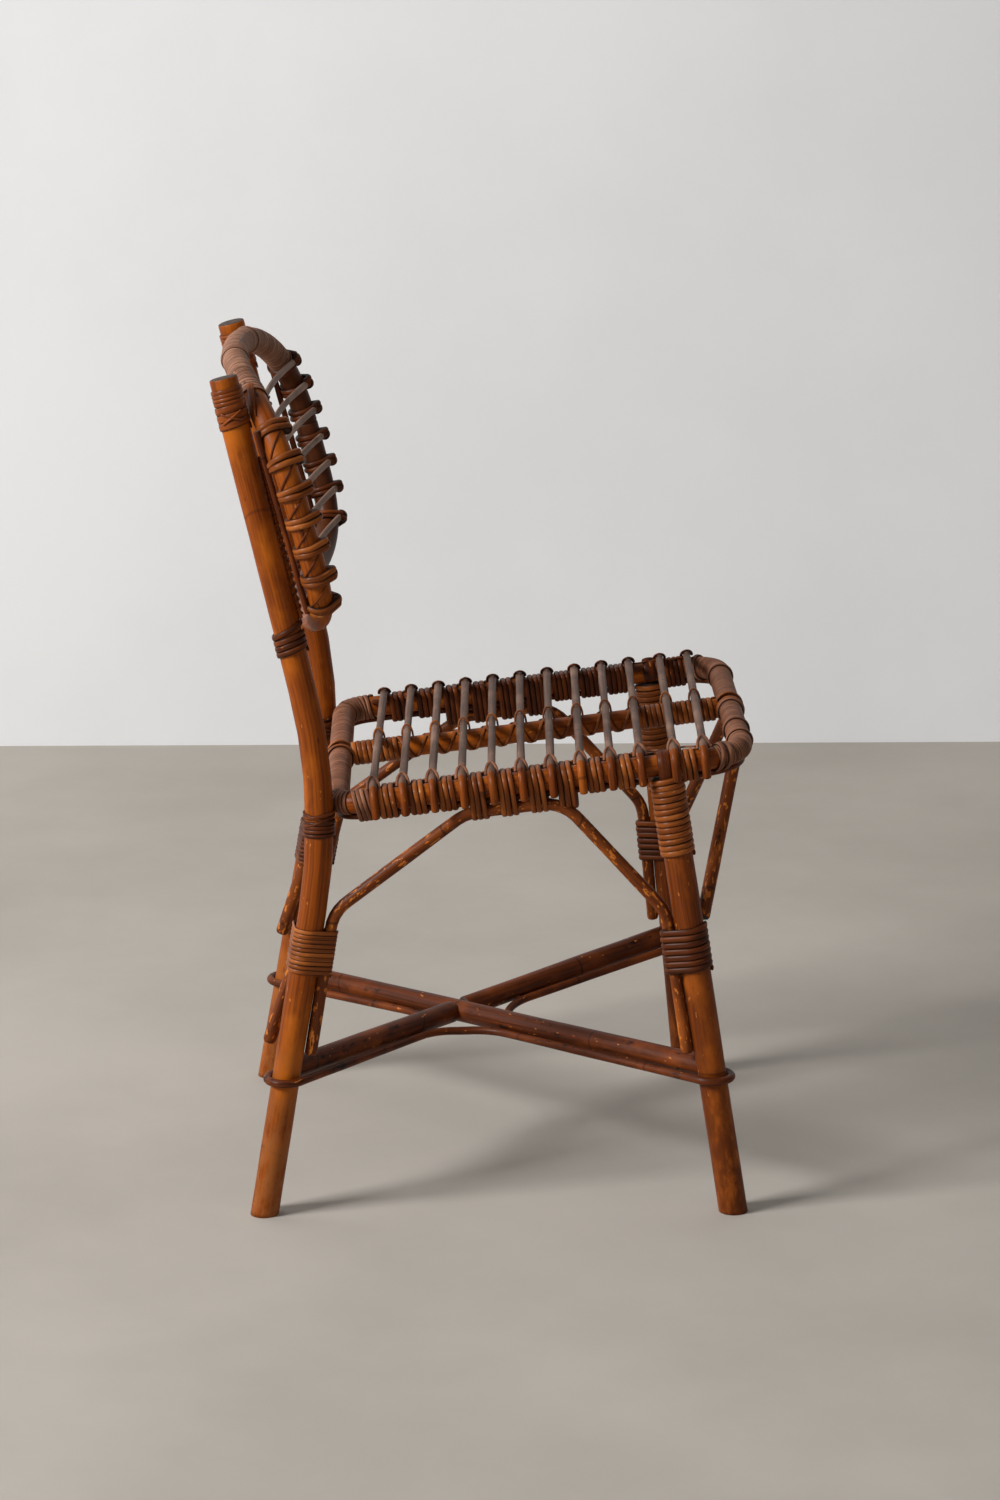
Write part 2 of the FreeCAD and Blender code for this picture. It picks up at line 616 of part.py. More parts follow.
spots = []
for k, (x, y, radius, turn) in enumerate(circles):
    enter, leave = contacts[k]
    start = math.atan2(enter.y - y, enter.x - x)
    sweep = (math.atan2(leave.y - y, leave.x - x) - start) * turn % (2 * math.pi)
    steps = math.ceil(math.degrees(sweep) / 22)
    for step in range(steps + 1):
        angle = start + turn * sweep * step / steps
        spot = V(x + radius * math.cos(angle), y + radius * math.sin(angle), 0)
        spot.z = ring_height(spot.x, spot.y)
        spots.append(spot)
ring_stations = []
for k, spot in enumerate(spots):
    before, after = spots[k - 1], spots[(k + 1) % len(spots)]
    way = (spot - before).normalize() + (after - spot).normalize()
    ring_stations.append((spot, way.normalize()))
shaped("stretcher_ring", ruled_tube(ring_stations, V(0, 0, 1), RING_R, 6, True))


# Cane. A winding is one unbroken flat cane; plain bands stand for the finer wraps.
def hull(points):
    points = sorted(points)

    def chain(items):
        line = []
        for p in items:
            while len(line) > 1 and ((line[-1][0] - line[-2][0]) * (p[1] - line[-2][1])
                                     - (line[-1][1] - line[-2][1]) * (p[0] - line[-2][0])) <= 0:
                line.pop()
            line.append(p)
        return line[:-1]

    return chain(points) + chain(reversed(points))


def around(poles, grow, thick, flats):
    """Convex outline round pole sections (x, y, radius), as pairs of inner and outer corners."""
    points = []
    for x, y, radius in poles:
        for k in range(flats):
            angle = 2 * math.pi * k / flats
            reach = 1 / math.cos(math.pi / flats)
            step_x, step_y = reach * math.cos(angle), reach * math.sin(angle)
            inner = (x + (radius + grow) * step_x, y + (radius + grow) * step_y)
            points.append(inner + (thick * step_x, thick * step_y))
    return [((x, y), (x + dx, y + dy)) for x, y, dx, dy in hull(points)]


def band(base, out, axis, poles, length, thick):
    """Plain band round a bundle of poles, centred on the base along the axis."""
    over = axis.cross(out)
    low = base - axis * (length / 2)
    corners = around(poles, CLEAR, thick, 8)

    def face(which):
        ring = [low + out * pair[which][0] + over * pair[which][1] for pair in corners]
        return Part.Face(Part.makePolygon(ring + ring[:1]))

    return face(1).cut(face(0)).extrude(axis * length)


def flat_faced(sections):
    """Solid through four-cornered sections, each joined to the next by flat faces."""
    faces = [Part.Face(Part.makePolygon(ring + ring[:1])) for ring in (sections[0], sections[-1])]
    for a, b in zip(sections, sections[1:]):
        for k in range(4):
            faces.append(Part.Face(Part.makePolygon([a[k - 1], a[k], b[k], b[k - 1], a[k - 1]])))
    skin = Part.Compound(faces)
    skin.sewShape()
    solid = Part.Solid(skin.Shells[0])
    if solid.Volume < 0:
        solid.reverse()
    return solid


def winding(label, base, out, axis, poles, turns, thick):
    """Flat cane wound round a bundle of poles. Each turn lies level and the cane steps up to the
    next one on the longest side of the bundle."""
    width = size("cane_width")
    pitch = width + size("cane_gap")
    over = axis.cross(out)
    half = axis * (width / 2)
    corners = around(poles, CLEAR, thick, 10)
    sides = [math.dist(corners[k - 1][0], corners[k][0]) for k in range(len(corners))]
    first = sides.index(max(sides))
    corners = corners[first:] + corners[:first]
    (ax, ay), (bx, by) = corners[-1][0], corners[0][0]
    away = ((by - ay) * thick / max(sides), (ax - bx) * thick / max(sides))
    step_ends = []
    for share in (0.9, 0.1):
        x, y = ax + (bx - ax) * share, ay + (by - ay) * share
        step_ends.append(((x, y), (x + away[0], y + away[1])))
    lap = step_ends[:1] + corners + step_ends[1:]
    track, sections = [], []
    for turn in range(turns):
        rise = base + axis * (pitch * (turn - (turns - 1) / 2))
        for pair in lap:
            inner, outer = [rise + out * x + over * y for x, y in pair]
            track.append(inner)
            sections.append([inner - half, outer - half, outer + half, inner + half])
    slant = math.hypot(pitch, 0.8 * max(sides)) / (0.8 * max(sides))
    apart = min((q - half).distanceToPoint(p + half) for p, q in zip(track, track[len(lap):]))
    print(f"{label}: {turns} turns, least gap between turns {apart / slant:.2f} mm")
    return shaped(label, flat_faced(sections))


def square_to(axis, way):
    return (way - axis * way.dot(axis)).normalize()


PITCH = size("cane_width") + size("cane_gap")
THICK = size("cane_thickness")


def turns_of(name):
    return int(size(name))


def wound_length(turns):
    return (turns - 1) * PITCH + size("cane_width")


BINDING_TURNS = turns_of("binding_turns")
BINDING = wound_length(BINDING_TURNS)
BINDING_Z = KNEE_Z - 18 - BINDING / 2
for name, side in SIDES.items():
    axis = leg_lines[f"front_{name}"][1]
    ahead = square_to(axis, V(1, 0, 0))
    turns = turns_of("leg_wrap_turns")
    wrap_top = leg_top(side)[1] - EDGE_DROP - EDGE_R - 6
    middle = leg_axis(f"front_{name}", wrap_top) - axis * (wound_length(turns) / 2)
    winding(f"front_leg_wrap_{name}", middle, ahead, axis, [(0, 0, FRONT_R)], turns, THICK)

    poles = [(0, 0, FRONT_R), (-(FRONT_R + BRACE_R + CLEAR), 0, BRACE_R)]
    middle = leg_axis(f"front_{name}", BINDING_Z)
    winding(f"front_leg_binding_{name}", middle, ahead, axis, poles, BINDING_TURNS, THICK)

    axis = leg_lines[f"back_{name}"][1]
    ahead = square_to(axis, V(1, 0, 0))
    inward = -side * (BACK_R + ARCH_R + CLEAR)
    poles = [(0, 0, BACK_R), (BACK_R + BRACE_R + CLEAR, 0, BRACE_R)]
    for z in (BINDING_Z - BINDING / 2 - 4, BINDING_Z + BINDING / 2 + 4):
        poles.append((back_arch_lead(z, side), inward, ARCH_R))
    middle = leg_axis(f"back_{name}", BINDING_Z)
    winding(f"back_leg_binding_{name}", middle, ahead, axis, poles, BINDING_TURNS, THICK)

    axis = leg_direction(-of_side("post_slope", side), side)
    ahead = square_to(axis, HOOP_FRONT)
    here = side_point(post_x(TIE_Z, side), TIE_Z, side)
    poles = [(0, 0, BACK_R)]
    winding(f"post_top_binding_{name}", here, ahead, axis, poles, turns_of("hoop_tie_turns"), THICK)
    foot_z = HOOP_BASE.z - HOOP_R
    here = side_point(post_x(foot_z, side), foot_z, side)
    winding(f"hoop_foot_binding_{name}", here, ahead, axis, poles, turns_of("hoop_foot_turns"), THICK)

    # The seat binding sits on the bend of the leg, just under the rail.
    z = SEAT_ORIGIN.z - EDGE_DROP - EDGE_R - 12
    turn = (math.atan(of_side("back_leg_slope", side)) + math.atan(of_side("post_slope", side))) / 2
    apex_x = bend_x(side) - size("post_bend_radius") * (1 / math.cos(turn) - 1)
    here = side_point(apex_x, z, side)
    axis = leg_direction(0.02, side)
    ahead = square_to(axis, V(1, 0, 0))
    poles = [(0, 0, BACK_R + 0.5)]
    winding(f"seat_corner_binding_{name}", here, ahead, axis, poles, turns_of("corner_turns"), THICK)

# Bands between the sticks hold the rail, the rods beside it and the brace bar together.
RAIL_BAND = size("rail_band_width")
RAIL_THICK = size("rail_band_thickness")
bar_straight = size("brace_bar_half") - 0.5 * bar_bend
for name, side in SIDES.items():
    bands = []
    for a, b in zip(stick_x, stick_x[1:]):
        x = (a + b + side * size("stick_skew")) / 2
        if a < leg_top(side)[0] < b:
            continue
        poles = [(0, 0, RAIL_R), (0, -EDGE_DROP, EDGE_R)]
        if x < inner_to(side):
            poles.append((-side * inner_in, inner_rise, INNER_R))
        ends = [x - RAIL_BAND / 2, x + RAIL_BAND / 2]
        past = [max(0, abs(end - size("brace_bar_x")) - bar_straight) for end in ends]
        if min(past) < bar_bend / 2:
            for run in past:
                drop = BAR_DROP + bar_bend - math.sqrt(bar_bend**2 - run**2)
                poles.append((side * (side_y(bar_back.z) - HALF), -drop, BRACE_R + 1))
        base = seat_point(x, side * HALF)
        bands.append(band(base, V(0, 1, 0), SEAT_AXIS, poles, RAIL_BAND, RAIL_THICK))
    shaped(f"side_rail_binding_{name}", Part.Compound(bands))

# Front and back rail wraps, open where the centre rail butts and where the arches bend away.
for name, x in (("front", size("seat_front_x")), ("back", size("seat_back_x"))):
    bands = []
    corner = FRONT_CORNER if name == "front" else BACK_CORNER
    for side in (-1, 1):
        for low, high, tied in ((13, 44, True), (88, HALF - corner - 4, False)):
            poles = [(0, 0, RAIL_R), (-EDGE_DROP, 0, EDGE_R)]
            if tied:
                poles.append((-ARCH_DROP, 0, ARCH_R))
            base = seat_point(x, side * (low + high) / 2)
            bands.append(band(base, SEAT_UP, V(0, 1, 0), poles, high - low, RAIL_THICK))
    shaped(f"{name}_rail_wrap", Part.Compound(bands))

bands = []
for k in (0, 3, 4, 5, 10):
    base = seat_point((stick_x[k] + stick_x[k + 1]) / 2, 0, centre_rise)
    poles = [(0, 0, size("centre_rail_diameter") / 2)]
    bands.append(band(base, V(0, 1, 0), SEAT_AXIS, poles, RAIL_BAND, RAIL_THICK))
shaped("centre_rail_lashing", Part.Compound(bands))

# Fine wrap over the crown of the hoop.
crown = [hoop_station(degrees) for degrees in hoop_degrees if 51 <= degrees <= 129]
inner = (HOOP_R + CLEAR) / math.cos(math.pi / 10)
sleeve = ruled_tube(crown, HOOP_FRONT, inner + RAIL_THICK, 10)
shaped("crown_wrap", sleeve.cut(ruled_tube(crown, HOOP_FRONT, inner, 10)))

doc.recompute()
os.makedirs("parts", exist_ok=True)
failed = []
for label, obj in nodes.items():
    if "Invalid" in obj.State or "Error" in obj.State or obj.Shape.isNull() or not obj.Shape.isValid():
        failed.append(label)
if failed:
    raise RuntimeError("did not build: " + ", ".join(failed))
for label, obj in nodes.items():
    obj.Shape.exportStep(f"parts/{label}.step")
print(f"{len(nodes)} parts written")
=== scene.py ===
import bisect
import math

import bmesh
import bpy
from mathutils import Matrix, Vector, noise


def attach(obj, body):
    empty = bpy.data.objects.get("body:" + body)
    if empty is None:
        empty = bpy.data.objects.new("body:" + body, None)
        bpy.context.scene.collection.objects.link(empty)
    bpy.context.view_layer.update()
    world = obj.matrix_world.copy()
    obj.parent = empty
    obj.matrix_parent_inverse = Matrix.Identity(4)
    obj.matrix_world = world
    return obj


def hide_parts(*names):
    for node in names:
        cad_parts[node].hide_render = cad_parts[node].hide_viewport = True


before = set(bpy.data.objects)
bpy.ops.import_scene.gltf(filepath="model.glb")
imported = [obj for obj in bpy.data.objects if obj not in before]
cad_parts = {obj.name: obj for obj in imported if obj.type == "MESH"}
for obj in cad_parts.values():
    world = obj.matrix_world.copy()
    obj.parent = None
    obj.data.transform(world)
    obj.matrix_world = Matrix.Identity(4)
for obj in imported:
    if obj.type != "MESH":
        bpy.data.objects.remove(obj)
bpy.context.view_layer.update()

# Rattan dining chair. X points forward, Y to the sitter's left, Z up.
# Lengths are millimetres, brought to metres when a piece is finished.
MM = 0.001
SIDES = {"left": 1, "right": -1}
FORWARD, ACROSS, UP = Vector((1, 0, 0)), Vector((0, 1, 0)), Vector((0, 0, 1))
CLEAR = 0.3

# Legs and posts; the left ones stand a little further back
BACK_R, FRONT_R = 13.5, 14.0
FOOT_HALF, SIDE_LEAN = 206.0, 0.04
BEND_X, BEND_Z, BEND_RADIUS = {1: -147.3, -1: -144.3}, 413.0, 550.0
BACK_SLOPE, POST_SLOPE, TOP_Z = {1: 0.1785, -1: 0.164}, {1: 0.2528, -1: 0.238}, 816.0
FRONT_FOOT_X, FRONT_SLOPE = {1: 224.3, -1: 244.7}, {1: 0.1, -1: 0.159}
FOOT_TRIM, LEG_ROOM, LEG_TOP_GAP = 12.0, FRONT_R + 3, 1.0
# The shaved tongue of a front leg bends over the side rail
TONGUE_HALF, TONGUE_FLAT, TONGUE_LIFT, TONGUE_TAIL = 6.8, 0.34, 2.4, 14.0
TONGUE_DEGREES = range(-35, 206, 8)

# Seat
SEAT_BACK_X, SEAT_FRONT_X, SEAT_BACK_Z, SEAT_RISE = -138.3, 249.3, 406.5, 0.124
SEAT_TILT = math.atan(SEAT_RISE)
RAIL_R, EDGE_R, INNER_R, CENTRE_R = 10.5, 3.0, 3.0, 10.0
BACK_CORNER, FRONT_CORNER = 26.0, 42.0
INNER_BACK_GAP, INNER_FRONT_GAP = 4.0, 8.0
STICK_R, STICK_TAIL, STICK_SKEW, STICK_VARNISH = 4.0, 15.0, 7.0, 33.0
FIRST_STICK_X, STICK_PITCH, LEG_STICKS_X = -98.3, 28.2, [187.8, 216.0]
STICK_X = [FIRST_STICK_X + STICK_PITCH * k for k in range(10)] + LEG_STICKS_X
EDGE_DROP = RAIL_R + CLEAR + EDGE_R
SEAT_AXIS = Vector((math.cos(SEAT_TILT), 0, math.sin(SEAT_TILT)))
SEAT_UP = Vector((-math.sin(SEAT_TILT), 0, math.cos(SEAT_TILT)))

# Braces and stretchers
BRACE_R, ARCH_R, POLE_R, RING_R = 6.0, 6.5, 11.0, 4.0
KNEE_Z, BRACE_FOOT_Z, BAR_X, BAR_HALF = 302.0, {1: 174.0, -1: 160.0}, 27.7, 46.0
KNEE_BEND, BAR_BEND = 40.0, 42.0
ARCH_BAR_HALF, ARCH_BEND, ARCH_KNEE_BEND = 66.0, 42.0, 20.0
FRONT_ARCH_KNEE_Z, FRONT_ARCH_LEAD = 290.0, 16.0
BACK_ARCH_KNEE_Z, BACK_ARCH_FOOT_Z, BACK_ARCH_LEAD = 310.0, 166.0, 4.0
STRETCH_Z = {"back_right": 145.0, "front_right": 145.0, "front_left": 159.0, "back_left": 117.0}
CROSSING_SHARE, RING_DROP, RING_BEND = 0.42, 8.0, 55.0
BAR_DROP = EDGE_DROP + EDGE_R + CLEAR + BRACE_R
ARCH_DROP = EDGE_DROP + EDGE_R + CLEAR + ARCH_R


def seat_point(x, y, rise=0.0):
    along = (x - SEAT_BACK_X) / math.cos(SEAT_TILT)
    return Vector((SEAT_BACK_X, y, SEAT_BACK_Z)) + SEAT_AXIS * along + SEAT_UP * rise


def side_y(z):
    return FOOT_HALF - SIDE_LEAN * z


def side_point(x, z, side):
    return Vector((x, side * side_y(z), z))


def back_leg_x(z, side):
    return BEND_X[side] + BACK_SLOPE[side] * (z - BEND_Z)


def post_x(z, side):
    return BEND_X[side] - POST_SLOPE[side] * (z - BEND_Z)


def front_leg_x(z, side):
    return FRONT_FOOT_X[side] - FRONT_SLOPE[side] * z


def leg_top(side):
    """Where the axis of a front leg meets the rail plane, as (x, z)."""
    level = SEAT_BACK_Z + SEAT_RISE * (FRONT_FOOT_X[side] - SEAT_BACK_X)
    z = level / (1 + SEAT_RISE * FRONT_SLOPE[side])
    return front_leg_x(z, side), z


RAIL_HALF = side_y(leg_top(-1)[1])

# Back
HOOP_LEAN, HOOP_ROLL = math.atan(0.263), 0.02
HOOP_R, HOOP_WIDE, HOOP_TALL, HOOP_BOW = 11.5, 198.0, 126.0, 33.0
CROWN_POWER, FOOT_POWER = 2.6, 4.6
TIE_Z, TIE_LEVEL, HOOP_STEP = 784.0, 222.0, 36.84
HOOP_FRONT = Vector((math.cos(HOOP_LEAN), 0, math.sin(HOOP_LEAN)))
HOOP_ACROSS = (ACROSS - ACROSS.cross(HOOP_FRONT) * HOOP_ROLL).normalized()
HOOP_UP = HOOP_FRONT.cross(HOOP_ACROSS)
HOOP_BASE = (Vector((post_x(TIE_Z, -1), 0, TIE_Z)) + HOOP_FRONT * HOOP_STEP
             - Vector((HOOP_UP.x, 0, HOOP_UP.z)) * TIE_LEVEL)
FIRST_SLAT_LEVEL, SLAT_PITCH = 30.0, 28.1
SLAT_LEVELS = [FIRST_SLAT_LEVEL + SLAT_PITCH * k for k in range(7)]
SLAT_WIDTH, SLAT_THICK, SLAT_OVERHANG = 7.0, 4.5, 3.0
HOOP_ROD_R, HOOP_ROD_Y, HOOP_ROD_LEVELS = 3.0, 190.0, (25, 205)


def hoop_bow(y):
    return HOOP_BOW * (1 - (y / HOOP_WIDE) ** 2)


def hoop_width(level):
    share = level / HOOP_TALL - 1
    power = CROWN_POWER if share > 0 else FOOT_POWER
    return HOOP_WIDE * (1 - abs(share) ** power) ** (1 / power)


def hoop_point(y, level, ahead=0.0):
    return HOOP_BASE + HOOP_ACROSS * y + HOOP_UP * level + HOOP_FRONT * (ahead - hoop_bow(y))


class Route:
    """A run through space that tells its point and heading at any length along it."""

    def __init__(self, points, closed=False):
        self.points = [Vector(p) for p in points]
        if closed:
            self.points.append(self.points[0].copy())
        self.marks = [0.0]
        for a, b in zip(self.points, self.points[1:]):
            self.marks.append(self.marks[-1] + (b - a).length)
        self.length = self.marks[-1]
        last = len(self.points) - 1
        self.headings = []
        for k in range(last + 1):
            before, after = max(k - 1, 0), min(k + 1, last)
            way = self.points[after] - self.points[before]
            if closed and k in (0, last):
                way = self.points[1] - self.points[last - 1]
            self.headings.append(way.normalized())

    def at(self, length):
        k = min(max(bisect.bisect(self.marks, length) - 1, 0), len(self.marks) - 2)
        share = (length - self.marks[k]) / (self.marks[k + 1] - self.marks[k])
        point = self.points[k].lerp(self.points[k + 1], share)
        turn = min(max(share, 0.0), 1.0)
        return point, self.headings[k].lerp(self.headings[k + 1], turn).normalized()

    def mark_near(self, place):
        """Length along the route where it passes closest to a place."""
        best = []
        for mark, a, b in zip(self.marks, self.points, self.points[1:]):
            way = b - a
            share = min(max((place - a).dot(way) / way.length_squared, 0.0), 1.0)
            best.append(((a + way * share - place).length, mark + share * way.length))
        return min(best)[1]


def line(a, b):
    return Route([a, b])


def bent(corners, bends, closed=False):
    """Route through corners, each rounded by its bend radius."""
    points = []
    count = len(corners)
    for k, corner in enumerate(corners):
        if not closed and k in (0, count - 1) or not bends[k]:
            points.append(corner)
            continue
        back = (corners[k - 1] - corner).normalized()
        on = (corners[(k + 1) % count] - corner).normalized()
        half = back.angle(on) / 2
        cut = bends[k] / math.tan(half)
        middle = corner + (back + on).normalized() * (bends[k] / math.sin(half))
        start, end = corner + back * cut - middle, corner + on * cut - middle
        sweep = start.angle(end)
        steps = max(4, round(sweep / math.radians(5)))
        for i in range(steps + 1):
            a = sweep * i / steps
            points.append(middle + (start * math.sin(sweep - a) + end * math.sin(a)) / math.sin(sweep))
    return Route(points, closed)


# Straight pieces, made along Z and then laid along their routes
def new_marks(bm):
    """Layers for the finish: the place on the straight piece, and nearness to a cane's edge, which sets the
    painted shade between turns.
    """
    return bm.verts.layers.float_vector.new("straight"), bm.verts.layers.float.new("edge")


def straight_pole(length, radius, seed, sides=20, step=7.0, thin=1.0, uneven=0.35, soft_end=0.12):
    """Pole with softened ends; thin flattens it into a slat."""
    bm = bmesh.new()
    middle = Matrix.Translation((0, 0, length / 2)) @ Matrix.Diagonal((thin, 1, 1, 1))
    bmesh.ops.create_cone(bm, cap_ends=True, segments=sides, radius1=radius, radius2=radius,
                          depth=length, matrix=middle)
    for face in bm.faces:
        face.material_index = 1 if len(face.verts) > 4 else 0
    rims = [e for e in bm.edges if abs(e.verts[0].co.z - e.verts[1].co.z) < 1e-4]
    bmesh.ops.bevel(bm, geom=rims, offset=radius * thin * soft_end, affect="EDGES", segments=2,
                    profile=0.5, material=-1)
    runs = [e for e in bm.edges if abs(e.verts[0].co.z - e.verts[1].co.z) > length / 2]
    bmesh.ops.subdivide_edges(bm, edges=runs, cuts=max(1, int(length / step)), use_grid_fill=True)
    straight, _ = new_marks(bm)
    for v in bm.verts:
        v[straight] = v.co * MM + Vector((0, 0, seed * 3.1))
        grow = 1 + uneven / radius * noise.noise(Vector((v.co.z * 0.011, seed * 7.7, 0)))
        lump = uneven * noise.noise(Vector((v.co.x * 0.05, v.co.y * 0.05 + seed, v.co.z * 0.02)))
        flat = Vector((v.co.x, v.co.y, 0))
        v.co += flat * (grow - 1) + flat.normalized() * lump * 0.6
    return bm


def straight_winding(length, poles, pitch, width, thick, seed, sides=8, hand=1, lift=0.0, uneven=0.25,
                     tilt=0.0):
    """One cane wound round a bundle of poles (x, y, radius), turn beside turn along Z."""
    turns = max(1, round(length / pitch)) if pitch else 1
    # A long winding is spun in blocks of about nine turns, one copied after another.
    blocks = max(1, round(turns / 9))
    block = max(1, round(turns / blocks))
    pitch = length / (block * blocks) if pitch else 0.0
    steps, reach = 26, 20.0
    bm = bmesh.new()
    section = (Matrix.Translation((reach, 0, 0)) @ Matrix.Rotation(math.pi / 2, 4, "X")
               @ Matrix.Diagonal((thick / 2, width / 2, 1, 1)))
    bmesh.ops.create_circle(bm, segments=sides, radius=1, matrix=section)
    bmesh.ops.spin(bm, geom=bm.verts[:] + bm.edges[:], cent=(0, 0, 0), axis=(0, 0, 1),
                   dvec=(0, 0, pitch / steps), angle=2 * math.pi * block, steps=steps * block)
    one = bm.verts[:] + bm.edges[:] + bm.faces[:]
    for k in range(1, blocks):
        copy = bmesh.ops.duplicate(bm, geom=one)["geom"]
        moved = [item for item in copy if isinstance(item, bmesh.types.BMVert)]
        bmesh.ops.translate(bm, vec=(0, 0, pitch * block * k), verts=moved)
    bmesh.ops.remove_doubles(bm, verts=bm.verts[:], dist=0.01)
    bmesh.ops.holes_fill(bm, edges=[e for e in bm.edges if e.is_boundary])
    straight, edge = new_marks(bm)
    for v in bm.verts:
        angle = math.atan2(v.co.y, v.co.x)
        out = math.hypot(v.co.x, v.co.y) - reach
        half = width / 2 * math.sqrt(max(0.0, 1 - (2 * out / thick) ** 2))
        lap = v.co.z / pitch - angle / (2 * math.pi) if pitch else 0.0
        # The lap is the one whose cane section passes through this point.
        laps = min((round(lap + way * half / pitch) for way in (1, -1)),
                   key=lambda n: abs(abs(lap - n) * pitch - half)) if pitch else 0
        run = angle + 2 * math.pi * laps
        aside = v.co.z - pitch * run / (2 * math.pi)
        drift = Vector((run * 0.31, seed * 5.3, 0)) if pitch else Vector((math.cos(angle), seed * 5.3, 0))
        rise = uneven * width * 0.5 * noise.noise(drift)
        swell = uneven * thick * 0.5 * noise.noise(drift + Vector((40, 0, 0)))
        v[straight] = Vector((out, aside, run * 16 + seed * 977)) * MM
        v[edge] = min(1.0, abs(aside) / (width / 2))
        way = Vector((math.cos(hand * angle), math.sin(hand * angle)))
        x, y, radius = max(poles, key=lambda p: p[0] * way.x + p[1] * way.y + p[2])
        far = radius + out + thick / 2 + lift + swell
        v.co = Vector((x + way.x * far, y + way.y * far, v.co.z + rise + tilt * (x + way.x * far)))
    bmesh.ops.recalc_face_normals(bm, faces=bm.faces[:])
    return bm


def lay_along(bm, route, facing, begin=0.0):
    """Bends a straight piece along a route, its X side turned to a facing or to one per length."""
    for v in bm.verts:
        point, heading = route.at(v.co.z + begin)
        front = facing(v.co.z + begin) if callable(facing) else facing
        out = (front - heading * front.dot(heading)).normalized()
        v.co = point + out * v.co.x + heading.cross(out) * v.co.y
    return bm


def cane(points, outs, width, thick, seed, taper=False):
    """Flat strip of cane through points, its back turned to the outward directions."""
    route = Route(points)
    bm = straight_pole(route.length, width / 2, seed, sides=10, step=2.5, thin=thick / width, uneven=0.15,
                       soft_end=0.4)
    if taper:
        for v in bm.verts:
            v.co.y *= max(0.12, 1 - (v.co.z / route.length) ** 3)

    def facing(length):
        k = min(max(bisect.bisect(route.marks, length) - 1, 0), len(outs) - 2)
        share = (length - route.marks[k]) / (route.marks[k + 1] - route.marks[k])
        return outs[k].lerp(outs[k + 1], min(max(share, 0.0), 1.0))

    return lay_along(bm, route, facing)


def strand(route, facing, stops, reach, width, thick, seed, taper=False):
    """Thin cane over the skin of a pole, through stops (length along it, degrees round it)."""
    points, outs = [], []
    for (a, turn_a), (b, turn_b) in zip(stops, stops[1:]):
        for i in range(9):
            share = i / 8
            point, heading = route.at(a + (b - a) * share)
            out = (facing - heading * facing.dot(heading)).normalized()
            angle = math.radians(turn_a + (turn_b - turn_a) * share)
            away = out * math.cos(angle) + heading.cross(out) * math.sin(angle)
            if not points or share:
                points.append(point + away * (reach + thick / 2))
                outs.append(away)
    return cane(points, outs, width, thick, seed, taper)


def join(parts):
    whole = bmesh.new()
    for part in parts:
        mesh = bpy.data.meshes.new("part")
        part.to_mesh(mesh)
        part.free()
        whole.from_mesh(mesh)
        bpy.data.meshes.remove(mesh)
    return whole


def finish_piece(name, bm, finish, slot, *nodes, also=()):
    """Makes the chair piece from its mesh and lets it stand for its CAD nodes."""
    bmesh.ops.scale(bm, vec=(MM, MM, MM), verts=bm.verts[:])
    mesh = bpy.data.meshes.new(name)
    bm.to_mesh(mesh)
    bm.free()
    for face in mesh.polygons:
        face.use_smooth = True
    piece = bpy.data.objects.new(name, mesh)
    bpy.context.scene.collection.objects.link(piece)
    for material in (finish, END_GRAIN, *also):
        mesh.materials.append(material)
    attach(piece, "root")
    if nodes:
        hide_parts(*nodes)


# Finishes
def feed(tree, node, values):
    """Links or sets sockets, by name or number, and the node's own settings."""
    for name, value in values.items():
        if isinstance(value, bpy.types.NodeSocket):
            tree.links.new(value, node.inputs[name])
        elif isinstance(name, int) or name in node.inputs:
            node.inputs[name].default_value = value
        else:
            setattr(node, name, value)


def add(tree, kind, **values):
    node = tree.nodes.new(kind)
    feed(tree, node, values)
    return node


def blend(tree, share, low, high):
    """Colour mix of two sockets or colours."""
    mix = add(tree, "ShaderNodeMix", data_type="RGBA")
    feed(tree, mix, {0: share, 6: low, 7: high})
    return mix.outputs[2]


def reckon(tree, operation, first, second):
    """Arithmetic on sockets or numbers."""
    node = add(tree, "ShaderNodeMath", operation=operation)
    feed(tree, node, {0: first, 1: second})
    return node.outputs[0]


def tone(red, green, blue):
    """Colour from 0-255 display values."""
    return tuple(((c / 255 + 0.055) / 1.055) ** 2.4 for c in (red, green, blue)) + (1.0,)


def ramp(tree, share, low, high):
    """Runs a value smoothly from 0 at low to 1 at high."""
    node = add(tree, "ShaderNodeMapRange", interpolation_type="SMOOTHSTEP", Value=share)
    feed(tree, node, {"From Min": low, "From Max": high})
    return node.outputs["Result"]


def new_finish(name):
    material = bpy.data.materials.new(name)
    material.use_nodes = True
    tree = material.node_tree
    return material, tree, tree.nodes["Principled BSDF"]


def grain(tree, where, scale, detail=3.0, rough=0.55):
    stretched = add(tree, "ShaderNodeMapping", Vector=where, Scale=scale).outputs[0]
    return add(tree, "ShaderNodeTexNoise", Vector=stretched, Detail=detail, Roughness=rough,
               Scale=1.0).outputs[0]


def place_on_chair(tree):
    where = add(tree, "ShaderNodeTexCoord").outputs["Object"]
    return add(tree, "ShaderNodeSeparateXYZ", Vector=where).outputs


